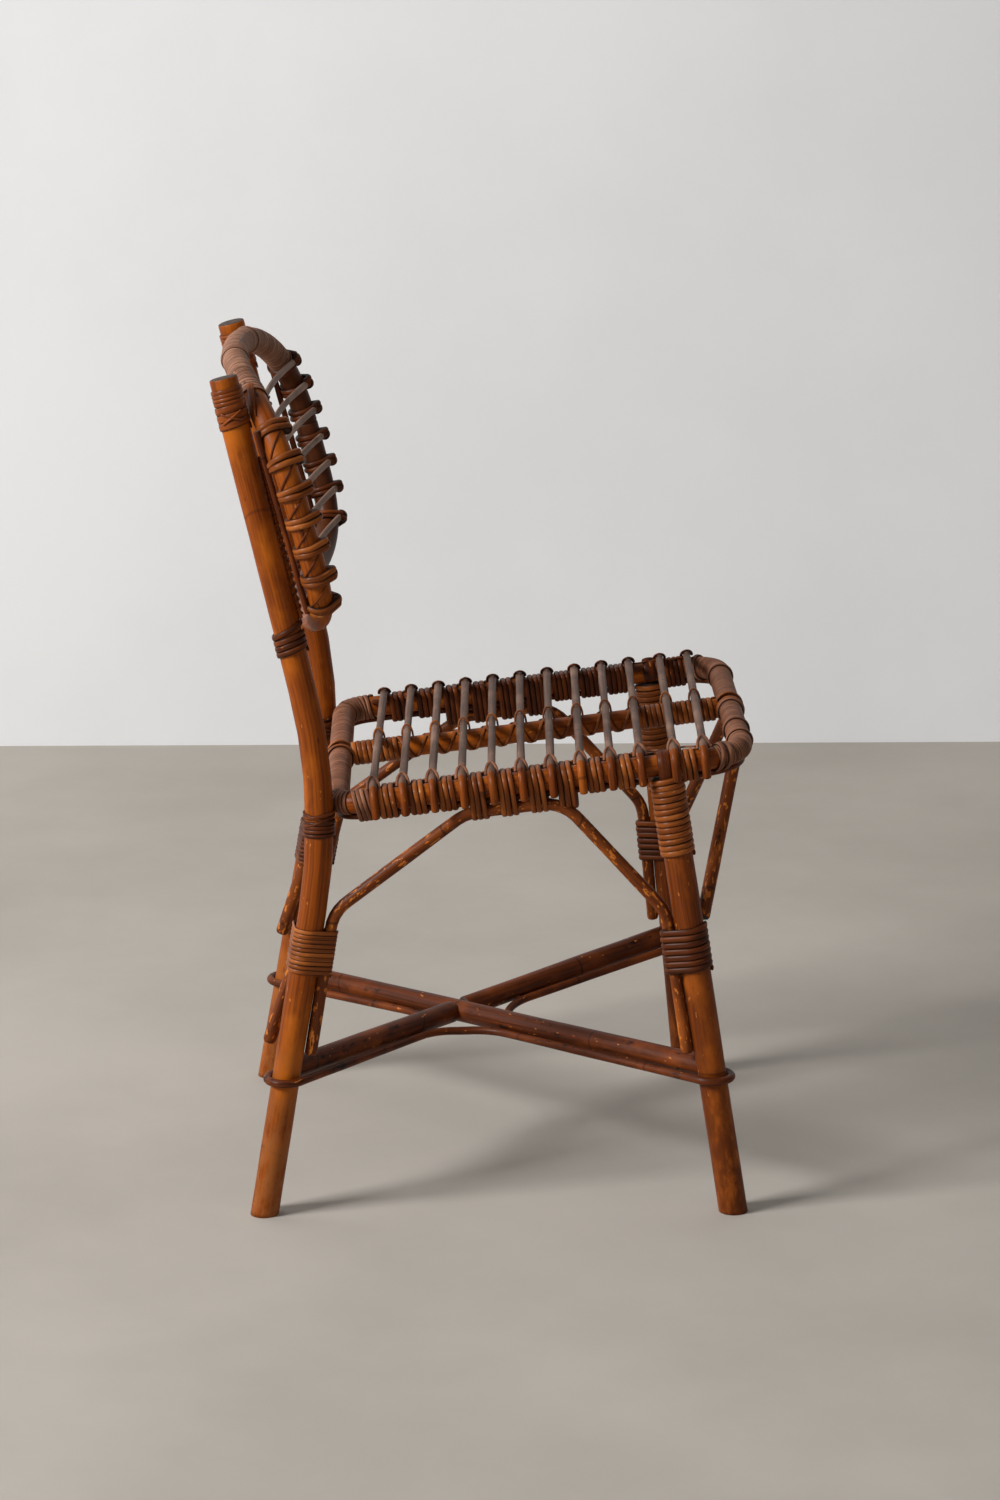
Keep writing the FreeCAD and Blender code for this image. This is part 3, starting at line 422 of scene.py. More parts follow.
def rattan(name, pale, body, deep, mark, chip, marks=0.5, chips=0.5, chip_scale=1.0, ring_every=0.16,
           rings=0.6, gloss=0.44, coat=0.04, foot=None, far_side_shade=False):
    """Cane or pole skin: lengthwise streaks, clouded paler patches, node rings, dark marks, pale chips and
    painted shade along cane edges.

    foot is the colour that the skin turns to, in patches, towards the floor; the far-side switch paints shade
    over the left side of the chair, which faces away from the light.
    """
    material, tree, shader = new_finish(name)
    pale, body, deep, mark, chip = (tone(*shade) for shade in (pale, body, deep, mark, chip))
    where = add(tree, "ShaderNodeAttribute", attribute_name="straight").outputs["Vector"]
    edge_shade = add(tree, "ShaderNodeAttribute", attribute_name="edge").outputs["Fac"]
    streaks = grain(tree, where, (420, 420, 9))
    clouds = grain(tree, where, (26, 26, 13), 4.0)
    fine = grain(tree, where, (900, 900, 60), 2.0)
    colour = blend(tree, ramp(tree, streaks, 0.32, 0.68), deep, body)
    colour = blend(tree, ramp(tree, clouds, 0.44, 0.70), colour, pale)
    smudge = grain(tree, where, (90, 90, 42), 5.0, 0.62)
    colour = blend(tree, ramp(tree, smudge, 0.72 - 0.16 * marks, 0.80 - 0.10 * marks), colour, mark)
    flecks = grain(tree, where, (240 * chip_scale, 240 * chip_scale, 95 * chip_scale), 2.5)
    colour = blend(tree, ramp(tree, flecks, 0.76 - 0.15 * chips, 0.79 - 0.14 * chips), colour, chip)
    # Node rings are thin, a little wavy, and unevenly spaced.
    split = add(tree, "ShaderNodeSeparateXYZ", Vector=where)
    sway = reckon(tree, "MULTIPLY", grain(tree, where, (14, 14, 7), 1.0), 0.05)
    along = reckon(tree, "ADD", split.outputs["Z"], sway)
    step = reckon(tree, "PINGPONG", along, ring_every)
    ring = reckon(tree, "MULTIPLY", ramp(tree, step, 0.0020, 0.0004), rings)
    colour = blend(tree, ring, colour, mark)
    # Painted shade: each cane darkens towards its edges, in the crevices between neighbouring turns.
    colour = blend(tree, ramp(tree, edge_shade, 0.62, 1.0), colour, mark)
    # The skin turns to the foot colour in patches towards the floor.
    if foot:
        toward_floor = ramp(tree, place_on_chair(tree)["Z"], 0.24, 0.02)
        patchy = reckon(tree, "MULTIPLY", toward_floor, ramp(tree, smudge, 0.34, 0.60))
        colour = blend(tree, patchy, colour, tone(*foot))
    # Painted shade: the left side of the chair, which faces away from the light, is darkened.
    if far_side_shade:
        painted_shade_colour = blend(tree, streaks, tone(52, 24, 8), tone(92, 44, 14))
        colour = blend(tree, ramp(tree, place_on_chair(tree)["Y"], -0.185, -0.03), colour, painted_shade_colour)
    rough = add(tree, "ShaderNodeMapRange", Value=clouds)
    feed(tree, rough, {"To Min": gloss - 0.08, "To Max": gloss + 0.16})
    bump = add(tree, "ShaderNodeBump", Strength=0.35, Distance=0.0006, Height=reckon(tree, "ADD", fine, ring))
    feed(tree, shader, {"Base Color": colour, "Roughness": rough.outputs[0], "Specular IOR Level": 0.14,
                        "Coat Weight": coat, "Coat Roughness": 0.2, "Normal": bump.outputs[0]})
    return material


def end_grain():
    """Sawn pole end: dark, dusty and full of pores."""
    material, tree, shader = new_finish("sawn_pole_end")
    place = add(tree, "ShaderNodeTexCoord").outputs["Object"]
    pores = add(tree, "ShaderNodeTexVoronoi", Vector=place, Scale=950.0)
    dust = add(tree, "ShaderNodeTexNoise", Vector=place, Scale=160.0, Detail=4.0)
    colour = blend(tree, ramp(tree, pores.outputs["Distance"], 0.12, 0.4), tone(24, 16, 12), tone(60, 44, 35))
    colour = blend(tree, ramp(tree, dust.outputs[0], 0.45, 0.75), colour, tone(82, 66, 56))
    bump = add(tree, "ShaderNodeBump", Strength=0.5, Distance=0.0008, Height=pores.outputs["Distance"])
    feed(tree, shader, {"Base Color": colour, "Roughness": 0.8, "Normal": bump.outputs[0]})
    return material


END_GRAIN = end_grain()
# Colours of each skin: pale, body, deep, marks and chips; the marks colour is also the painted shade at cane
# edges
AMBER = rattan("amber_pole", (176, 92, 14), (146, 70, 8), (108, 48, 6), (56, 24, 8),
               (192, 118, 46), marks=0.55, chips=0.4, rings=0.4, foot=(146, 84, 38))
# The hoop's finish paints shade over its left, far side.
HOOP_AMBER_FAR_SHADED = rattan("hoop_amber_far_shaded", (176, 92, 14), (146, 70, 8), (108, 48, 6), (56, 24, 8),
                    (196, 122, 50), marks=0.4, chips=0.35, rings=0.4, far_side_shade=True)
AMBER_DEEP = rattan("deep_amber_pole", (154, 78, 17), (121, 56, 10), (88, 39, 8), (38, 17, 8),
                    (176, 104, 46), marks=0.8, chips=0.5, rings=0.5, foot=(94, 42, 6))
AMBER_CANE = rattan("amber_cane", (166, 84, 20), (136, 65, 13), (104, 47, 10), (72, 34, 10),
                    (180, 106, 44), marks=0.3, chips=0.3, ring_every=0.3, coat=0.15)
DARK = rattan("stained_pole", (122, 58, 16), (92, 40, 10), (60, 26, 8), (26, 12, 8),
              (178, 104, 44), marks=0.95, chips=0.5, ring_every=0.09)
MOTTLED = rattan("mottled_brace", (144, 74, 24), (114, 54, 15), (82, 37, 11), (34, 15, 8),
                 (190, 108, 38), marks=0.6, chips=1.2, chip_scale=1.1, ring_every=0.07)
WEATHERED = rattan("weathered_stick", (138, 107, 90), (108, 78, 63), (78, 53, 41), (40, 25, 19),
                   (150, 104, 74), marks=0.5, chips=0.45, ring_every=0.11, gloss=0.48, coat=0.0)
SLAT_GREY = rattan("bleached_slat", (168, 138, 120), (138, 110, 94), (100, 75, 61), (56, 38, 28),
                   (184, 154, 134), marks=0.35, chips=0.3, rings=0.3, gloss=0.5, coat=0.0)
CANE = rattan("binding_cane", (174, 98, 40), (137, 71, 22), (98, 46, 13), (32, 15, 8),
              (190, 124, 68), marks=0.4, chips=0.5, ring_every=0.35, coat=0.08)
FADED_CANE = rattan("faded_cane", (162, 110, 82), (132, 84, 59), (95, 57, 39), (40, 22, 15),
                    (170, 120, 90), marks=0.45, chips=0.35, ring_every=0.4, gloss=0.48, coat=0.0)
CROWN_CANE = rattan("bleached_crown_cane", (182, 136, 110), (146, 102, 79), (102, 65, 47), (44, 26, 19),
                    (188, 142, 114), marks=0.6, chips=0.4, ring_every=0.4, gloss=0.5, coat=0.0)
DARK_CANE = rattan("dark_cane", (122, 60, 18), (90, 39, 8), (60, 26, 6), (26, 12, 7),
                   (152, 86, 34), marks=0.5, chips=0.5, ring_every=0.3, coat=0.04)
# The left side of the chair, away from the light, gets the darker cane as painted shade; the right side keeps
# the paler cane.
SIDE_CANE_FAR_SHADED, LOOP_CANE_FAR_SHADED = {1: DARK_CANE, -1: CANE}, {1: DARK_CANE, -1: FADED_CANE}


def pole_piece(name, route, radius, finish, slot, nodes, facing=UP, seed=1, **shape):
    bm = straight_pole(route.length, radius, seed, **shape)
    finish_piece(name, lay_along(bm, route, facing), finish, slot, *nodes)


def trimmed_at_floor(bm):
    bmesh.ops.bisect_plane(bm, geom=bm.verts[:] + bm.edges[:] + bm.faces[:], plane_co=(0, 0, 0),
                           plane_no=(0, 0, -1), clear_outer=True)
    made = bmesh.ops.holes_fill(bm, edges=[e for e in bm.edges if e.is_boundary])
    for face in made["faces"]:
        face.material_index = 1
    return bm


# Legs
back_routes, front_routes, post_routes = {}, {}, {}
for name, side in SIDES.items():
    foot = side_point(back_leg_x(-FOOT_TRIM, side), -FOOT_TRIM, side)
    bend = side_point(BEND_X[side], BEND_Z, side)
    top = side_point(post_x(TOP_Z, side), TOP_Z, side)
    back_routes[name] = route = bent([foot, bend, top], [0, BEND_RADIUS, 0])
    post_routes[name] = line(bend, top)
    leg = lay_along(straight_pole(route.length, BACK_R, 2 + side, sides=28), route, UP.cross(ACROSS))
    finish_piece(f"back_leg_{name}_pole", trimmed_at_floor(leg), AMBER, "amber_rattan", f"back_leg_{name}")

    top_x, top_z = leg_top(side)
    top = top_z - RAIL_R - LEG_TOP_GAP
    front_routes[name] = route = line(side_point(front_leg_x(-FOOT_TRIM, side), -FOOT_TRIM, side),
                                      side_point(front_leg_x(top, side), top, side))
    leg = lay_along(straight_pole(route.length, FRONT_R, 6 + side, sides=28), route, ACROSS)
    rail = seat_point(top_x, side * RAIL_HALF)
    reach = RAIL_R + CLEAR + TONGUE_LIFT
    bow = []
    for degrees in TONGUE_DEGREES:
        angle = math.radians(degrees)
        bow.append(rail + ACROSS * (side * reach * math.cos(angle)) + SEAT_UP * (reach * math.sin(angle)))
    bow.insert(0, bow[0] - SEAT_UP * TONGUE_TAIL)
    over_rail = Route(bow)
    tongue = straight_pole(over_rail.length, TONGUE_HALF, 11 + side, sides=16, thin=TONGUE_FLAT, soft_end=0.6)
    for face in tongue.faces:
        face.material_index = 2
    bm = join([trimmed_at_floor(leg), lay_along(tongue, over_rail, rail - seat_point(top_x, 0))])
    finish_piece(f"front_leg_{name}_pole", bm, AMBER_DEEP, "amber_rattan", f"front_leg_{name}", also=(DARK,))

# Seat frame and the rods beside it
frame_corners = [seat_point(SEAT_BACK_X, -RAIL_HALF), seat_point(SEAT_FRONT_X, -RAIL_HALF),
                 seat_point(SEAT_FRONT_X, RAIL_HALF), seat_point(SEAT_BACK_X, RAIL_HALF)]
rail_route = bent(frame_corners, [BACK_CORNER, FRONT_CORNER, FRONT_CORNER, BACK_CORNER], True)
bm = straight_pole(rail_route.length, RAIL_R, 21)
finish_piece("seat_rail", lay_along(bm, rail_route, SEAT_UP), AMBER, "amber_rattan", "seat_frame")

edge_corners = [p - SEAT_UP * EDGE_DROP for p in frame_corners]
for name, way, ends, bend in (("back", -1, (0, 3), BACK_CORNER), ("front", 1, (1, 2), FRONT_CORNER)):
    room = way * LEG_ROOM * math.cos(SEAT_TILT)
    right, left = [seat_point(leg_top(side)[0] + room, side * RAIL_HALF, -EDGE_DROP) for side in (-1, 1)]
    route = bent([right, edge_corners[ends[0]], edge_corners[ends[1]], left], [0, bend, bend, 0])
    pole_piece(f"edge_rod_{name}_cane", route, EDGE_R, DARK, "dark_rattan", [f"edge_rod_{name}"],
               SEAT_UP, 31 + bend, sides=12)

inner_rise = RAIL_R - INNER_R
inner_in = math.sqrt((RAIL_R + INNER_R + CLEAR) ** 2 - inner_rise**2)
for name, side in SIDES.items():
    y = side * (RAIL_HALF - inner_in)
    route = line(seat_point(SEAT_BACK_X + BACK_CORNER + INNER_BACK_GAP, y, inner_rise),
                 seat_point(leg_top(side)[0] - INNER_FRONT_GAP, y, inner_rise))
    pole_piece(f"inner_rod_{name}_cane", route, INNER_R, DARK_CANE, "binding_cane", [f"inner_rod_{name}"],
               SEAT_UP, 41 + side, sides=12)
centre_rise = RAIL_R - CENTRE_R
centre_route = line(seat_point(SEAT_BACK_X + RAIL_R + CLEAR, 0, centre_rise),
                    seat_point(SEAT_FRONT_X - RAIL_R - CLEAR, 0, centre_rise))
pole_piece("centre_rail_pole", centre_route, CENTRE_R, AMBER, "amber_rattan", ["centre_rail"], SEAT_UP, 45)

# Sticks; their bent tails keep more of the varnish
stick_bend = RAIL_R + CLEAR + STICK_R
stick_way = (ACROSS + SEAT_AXIS * (STICK_SKEW / (2 * RAIL_HALF))).normalized()
for number, x in enumerate(STICK_X, start=1):
    middle = seat_point(x, 0, stick_bend)
    half = RAIL_HALF + stick_bend
    ends = [middle + stick_way * (way * half) for way in (-1, 1)]
    drop = SEAT_UP * (stick_bend + STICK_TAIL)
    route = bent([ends[0] - drop, ends[0], ends[1], ends[1] - drop], [0, stick_bend, stick_bend, 0])
    bm = straight_pole(route.length, STICK_R, 50 + number, sides=14, step=6, soft_end=0.5, uneven=0.5)
    for face in bm.faces:
        if abs(face.calc_center_median().z - route.length / 2) > route.length / 2 - STICK_VARNISH:
            face.material_index = 2
    finish_piece(f"seat_stick_{number:02d}_rod", lay_along(bm, route, SEAT_AXIS), WEATHERED, "weathered_cane",
                 f"seat_stick_{number:02d}", also=(AMBER_DEEP,))

# Back hoop, rods and slats
hoop_points = []
for k in range(240):
    angle = 2 * math.pi * (k + 0.5) / 240
    c, s = math.cos(angle), math.sin(angle)
    power = CROWN_POWER if s >= 0 else FOOT_POWER
    y = HOOP_WIDE * math.copysign(abs(c) ** (2 / power), c)
    level = HOOP_TALL * (1 + math.copysign(abs(s) ** (2 / power), s))
    hoop_points.append(hoop_point(y, level))
hoop_route = Route(hoop_points, True)
bm = straight_pole(hoop_route.length, HOOP_R, 71, sides=24)
finish_piece("back_hoop_pole", lay_along(bm, hoop_route, HOOP_FRONT), HOOP_AMBER_FAR_SHADED, "amber_rattan", "back_hoop")
for name, side in SIDES.items():
    behind = -(HOOP_R + CLEAR + HOOP_ROD_R) * math.hypot(1, 2 * HOOP_BOW / HOOP_WIDE)
    ends = [hoop_point(side * HOOP_ROD_Y, level, behind) for level in HOOP_ROD_LEVELS]
    pole_piece(f"hoop_rod_{name}_cane", line(*ends), HOOP_ROD_R, DARK, "dark_rattan", [f"hoop_rod_{name}"],
               HOOP_FRONT, 73 + side, sides=12)
slat_ahead = (HOOP_R + CLEAR) * math.hypot(1, 2 * HOOP_BOW / HOOP_WIDE) + SLAT_THICK / 2
slat_routes = []
for number, level in enumerate(SLAT_LEVELS, start=1):
    reach = hoop_width(level) + SLAT_OVERHANG
    route = Route([hoop_point(reach * k / 20, level, slat_ahead) for k in range(-20, 21)])
    slat_routes.append(route)
    pole_piece(f"back_slat_{number}_cane", route, SLAT_WIDTH / 2, SLAT_GREY, "weathered_cane",
               [f"back_slat_{number}"], HOOP_FRONT, 80 + number, sides=14, thin=SLAT_THICK / SLAT_WIDTH,
               soft_end=0.5)


# Braces
def back_brace_x(z, side):
    return back_leg_x(z, side) + (BACK_R + BRACE_R + CLEAR) * math.hypot(1, BACK_SLOPE[side])


def front_brace_x(z, side):
    return front_leg_x(z, side) - (FRONT_R + BRACE_R + CLEAR) * math.hypot(1, FRONT_SLOPE[side])


for name, side in SIDES.items():
    bars = [seat_point(BAR_X + way * BAR_HALF, 0, -BAR_DROP) for way in (-1, 1)]
    foot = BRACE_FOOT_Z[side]
    spots = [(back_brace_x(foot, side), foot), (back_brace_x(KNEE_Z, side), KNEE_Z)]
    spots += [(p.x, p.z) for p in bars]
    spots += [(front_brace_x(KNEE_Z, side), KNEE_Z), (front_brace_x(foot, side), foot)]
    route = bent([side_point(x, z, side) for x, z in spots],
                 [0, KNEE_BEND, BAR_BEND, BAR_BEND, KNEE_BEND, 0])
    pole_piece(f"side_brace_{name}_rod", route, BRACE_R, MOTTLED, "dark_rattan", [f"side_brace_{name}"],
               ACROSS, 91 + side, sides=16, soft_end=0.5)


def arch(name, leg_x, leg_radius, knee_z, foot_z, forward, bar_x, seed):
    """Arched brace between two legs; gives its lead over the leg axis at a height."""
    inward = math.sqrt((leg_radius + ARCH_R + CLEAR) ** 2 - forward**2) + CLEAR
    knee = Vector(((leg_x(knee_z, 1) + leg_x(knee_z, -1)) / 2 + forward, 0, knee_z))
    bar = seat_point(bar_x, 0, -ARCH_DROP)
    rise = (bar - knee).normalized()
    half = [bar + ACROSS * ARCH_BAR_HALF, knee + ACROSS * (side_y(knee_z) - inward)]
    bends = [ARCH_BEND, 0]
    if foot_z:
        half.append(knee + rise * ((foot_z - knee_z) / rise.z) + ACROSS * (side_y(foot_z) - inward))
        bends = [ARCH_BEND, ARCH_KNEE_BEND, 0]
    mirrored = [Vector((p.x, -p.y, p.z)) for p in reversed(half)]
    route = bent(mirrored + half, bends[::-1] + bends)
    pole_piece(f"{name}_rod", route, ARCH_R, MOTTLED, "dark_rattan", [name], rise.cross(ACROSS), seed,
               sides=16, soft_end=0.5)
    return lambda z, side: knee.x + (z - knee_z) * rise.x / rise.z - leg_x(z, side)


arch("front_brace", front_leg_x, FRONT_R, FRONT_ARCH_KNEE_Z, None, FRONT_ARCH_LEAD, SEAT_FRONT_X, 95)
back_arch_lead = arch("back_brace", back_leg_x, BACK_R, BACK_ARCH_KNEE_Z, BACK_ARCH_FOOT_Z, BACK_ARCH_LEAD,
                      SEAT_BACK_X, 97)


# Stretchers
def stretcher_end(leg, drop=0.0):
    side, z = SIDES[leg.split("_")[1]], STRETCH_Z[leg] - drop
    return side_point(back_leg_x(z, side) if leg.startswith("back") else front_leg_x(z, side), z, side)


far_end, near_end = stretcher_end("back_left"), stretcher_end("front_right")
crossing = far_end.lerp(near_end, CROSSING_SHARE)
pole_piece("stretcher_long_pole", line(far_end, near_end), POLE_R, DARK, "dark_rattan", ["stretcher_long"],
           UP, 101)
for name, leg in (("right", "back_right"), ("left", "front_left")):
    start = stretcher_end(leg)
    stop = crossing + (start - crossing).normalized() * (POLE_R * 0.9)
    pole_piece(f"stretcher_half_{name}_pole", line(start, stop), POLE_R, DARK, "dark_rattan",
               [f"stretcher_half_{name}"], UP, 103 + SIDES[name])

ring_off = math.sqrt((POLE_R + RING_R + CLEAR) ** 2 - RING_DROP**2)
round_legs = ["back_right", "front_right", "front_left", "back_left"]
circles = []
for k, leg in enumerate(round_legs):
    here = stretcher_end(leg, RING_DROP)
    room = (FRONT_R if leg.startswith("front") else BACK_R) * 1.02 + RING_R + CLEAR
    circles.append((here.x, here.y, room, 1))
    ways = [stretcher_end(item) - crossing for item in (leg, round_legs[(k + 1) % 4])]
    ways = [Vector((way.x, way.y, 0)).normalized() for way in ways]
    middle = (ways[0] + ways[1]).normalized()
    centre = crossing + middle * ((RING_BEND + ring_off) / math.sin(ways[0].angle(ways[1]) / 2))
    circles.append((centre.x, centre.y, RING_BEND, -1))
touch = [[None, None] for _ in circles]
for k, (x, y, radius, turn) in enumerate(circles):
    other = (k + 1) % len(circles)
    x2, y2, radius2, turn2 = circles[other]
    gap = math.hypot(x2 - x, y2 - y)
    heading = math.atan2(y2 - y, x2 - x) + turn * math.asin((radius + radius2) / gap)
    touch[k][1] = heading - math.pi / 2 * turn
    touch[other][0] = heading - math.pi / 2 * turn2


def ring_height(x, y):
    """The ring follows the stretcher beside it and blends to the next at a corner."""
    spot, flat = Vector((x, y)), crossing.xy
    total = weight = 0.0
    for leg in round_legs:
        end = stretcher_end(leg)
        way = end.xy - flat
        share = min(max((spot - flat).dot(way) / way.length_squared, 0.0), 1.0)
        pull = (spot - flat - way * share).length ** -4
        total += pull * (crossing.z + (end.z - crossing.z) * share)
        weight += pull
    return total / weight - RING_DROP


ring_points = []
for (x, y, radius, turn), (enter, leave) in zip(circles, touch):
    sweep = (leave - enter) * turn % (2 * math.pi)
    steps = max(4, round(sweep / math.radians(6)))
    for i in range(steps + 1):
        angle = enter + turn * sweep * i / steps
        spot = (x + radius * math.cos(angle), y + radius * math.sin(angle))
        ring_points.append((*spot, ring_height(*spot)))
pole_piece("stretcher_ring_rod", Route(ring_points, True), RING_R, DARK, "dark_rattan", ["stretcher_ring"],
           UP, 107, sides=14, step=5)


# Cane windings: turns are (pitch, width, thickness), rings and strips (width, thickness),
# and runs (start from what they tie, length)
LEG_WRAP_TURNS, LEG_WRAP_LENGTH, LEG_WRAP_GAP = (6.0, 6.3, 3.8), 77, 1.5
FRONT_BINDING_TURNS, BACK_BINDING_TURNS, BINDING_RUN = (6.4, 6.6, 4.0), (4.4, 4.6, 2.2), (-22, 44)
BINDING_Z, ARCH_FOOT_REACH = KNEE_Z - 37.2, 20
POST_FINE_TURNS, POST_FINE_RUN = (3.9, 4.1, 1.7), (7, 15)
POST_BROAD_TURNS, POST_BROAD_RUN = (7.4, 7.7, 1.9), (-16, 22)
KNOT_STRIP, KNOT_FROM, KNOT_TO, KNOT_LIFT, KNOT_DEGREES = (2.2, 1.4), -9, 1, 1.6, 38
HOOP_FOOT_TURNS, HOOP_FOOT_RUN, FOOT_RING, FOOT_RING_AT = (5.6, 5.8, 2.4), (-13, 17), (5.6, 2.6), 10
SEAT_CORNER_TURNS, SEAT_CORNER_RUN, SEAT_CORNER_DROP, SEAT_CORNER_BACK = (4.0, 4.2, 2.0), (-1, 16), 12, 4
CROSSED_RING, CROSSED_AT, CROSSED_STEP, CROSSED_TILTS = (3.6, 2.2), 15, 3, (0.34, -0.3, 0.16)
HALF_TURN = [math.pi * i / 12 for i in range(13)]
rail_only, centre_only, hoop_only = [(0, 0, RAIL_R)], [(0, 0, CENTRE_R)], [(0, 0, HOOP_R)]


def wound(route, facing, poles, begin, length, turns, seed, **shape):
    return lay_along(straight_winding(length, poles, *turns, seed, **shape), route, facing, begin)


def ring(route, facing, poles, at, size, seed, **shape):
    """One closed turn of cane."""
    return wound(route, facing, poles, at, 0, (0, *size), seed, **shape)


def bound(route, facing, poles, tie, run, turns, seed, **shape):
    """Turns of a run that starts at a length from the tie."""
    return wound(route, facing, poles, tie + run[0], run[1], turns, seed, **shape)


def binding(node, bm, finish):
    """Winding that stands for the CAD winding of that name."""
    finish_piece(f"{node}_cane", bm, finish, "binding_cane", node)


def trimming(name, parts, finish, *nodes):
    finish_piece(name, join(parts), finish, "binding_cane", *nodes)


for name, side in SIDES.items():
    # Round turns below the seat and above the stretchers on the front legs
    route = front_routes[name]
    top = (leg_top(side)[1] - RAIL_R - LEG_WRAP_GAP + FOOT_TRIM) / route.headings[0].z
    bm = wound(route, FORWARD, [(0, 0, FRONT_R)], top - LEG_WRAP_LENGTH, LEG_WRAP_LENGTH, LEG_WRAP_TURNS,
               120 + side, lift=-0.7)
    binding(f"front_leg_wrap_{name}", bm, CANE)
    middle = (BINDING_Z + FOOT_TRIM) / route.headings[0].z
    poles = [(0, 0, FRONT_R), (-(FRONT_R + BRACE_R + CLEAR), 0, BRACE_R)]
    bm = bound(route, FORWARD, poles, middle, BINDING_RUN, FRONT_BINDING_TURNS, 124 + side, lift=-0.6)
    binding(f"front_leg_binding_{name}", bm, DARK_CANE)

    # Finer turns on the back legs
    route = back_routes[name]
    middle = (BINDING_Z + FOOT_TRIM) * math.hypot(1, BACK_SLOPE[side])
    inward = side * (BACK_R + ARCH_R + CLEAR)
    poles = [(0, 0, BACK_R), (BACK_R + BRACE_R + CLEAR, 0, BRACE_R)]
    for z in (BINDING_Z - ARCH_FOOT_REACH, BINDING_Z + ARCH_FOOT_REACH):
        poles.append((back_arch_lead(z, side), -inward, ARCH_R))
    bm = bound(route, FORWARD, poles, middle, BINDING_RUN, BACK_BINDING_TURNS, 128 + side, lift=-0.3)
    binding(f"back_leg_binding_{name}", bm, SIDE_CANE_FAR_SHADED[side])

    # The post top: fine turns over broad ones, with a crossed knot at the outer side
    post = post_routes[name]
    rise = post.headings[0].z
    tie = (TIE_Z - BEND_Z) / rise
    around_post = [(0, 0, BACK_R)]
    turns = [bound(post, HOOP_FRONT, around_post, tie, POST_FINE_RUN, POST_FINE_TURNS, 132 + side),
             bound(post, HOOP_FRONT, around_post, tie, POST_BROAD_RUN, POST_BROAD_TURNS, 134 + side)]
    outer = 90 * side
    for turn in (-KNOT_DEGREES, KNOT_DEGREES):
        stops = [(tie + KNOT_FROM, outer - turn), (tie + KNOT_TO, outer + turn)]
        turns.append(strand(post, HOOP_FRONT, stops, BACK_R + KNOT_LIFT, *KNOT_STRIP, 136 + turn))
    binding(f"post_top_binding_{name}", join(turns), AMBER_CANE)

    # The hoop's foot: three turns and a slanting one that climbs to the hoop
    foot = (HOOP_BASE.z - HOOP_R - BEND_Z) / rise
    turns = [bound(post, HOOP_FRONT, around_post, foot, HOOP_FOOT_RUN, HOOP_FOOT_TURNS, 138 + side, tilt=0.1),
             ring(post, HOOP_FRONT, around_post, foot + FOOT_RING_AT, FOOT_RING, 140 + side, tilt=0.3)]
    binding(f"hoop_foot_binding_{name}", join(turns), DARK_CANE)

    # The seat corner: crossed turns over level ones
    z = SEAT_BACK_Z - EDGE_DROP - EDGE_R - SEAT_CORNER_DROP
    here = route.mark_near(side_point(back_leg_x(z, side) - SEAT_CORNER_BACK, z, side))
    turns = [bound(route, FORWARD, around_post, here, SEAT_CORNER_RUN, SEAT_CORNER_TURNS, 142 + side)]
    for k, tilt in enumerate(CROSSED_TILTS):
        turns.append(ring(route, FORWARD, around_post, here + CROSSED_AT + CROSSED_STEP * k, CROSSED_RING,
                          144 + k + side, tilt=tilt))
    binding(f"seat_corner_binding_{name}", join(turns), DARK_CANE)

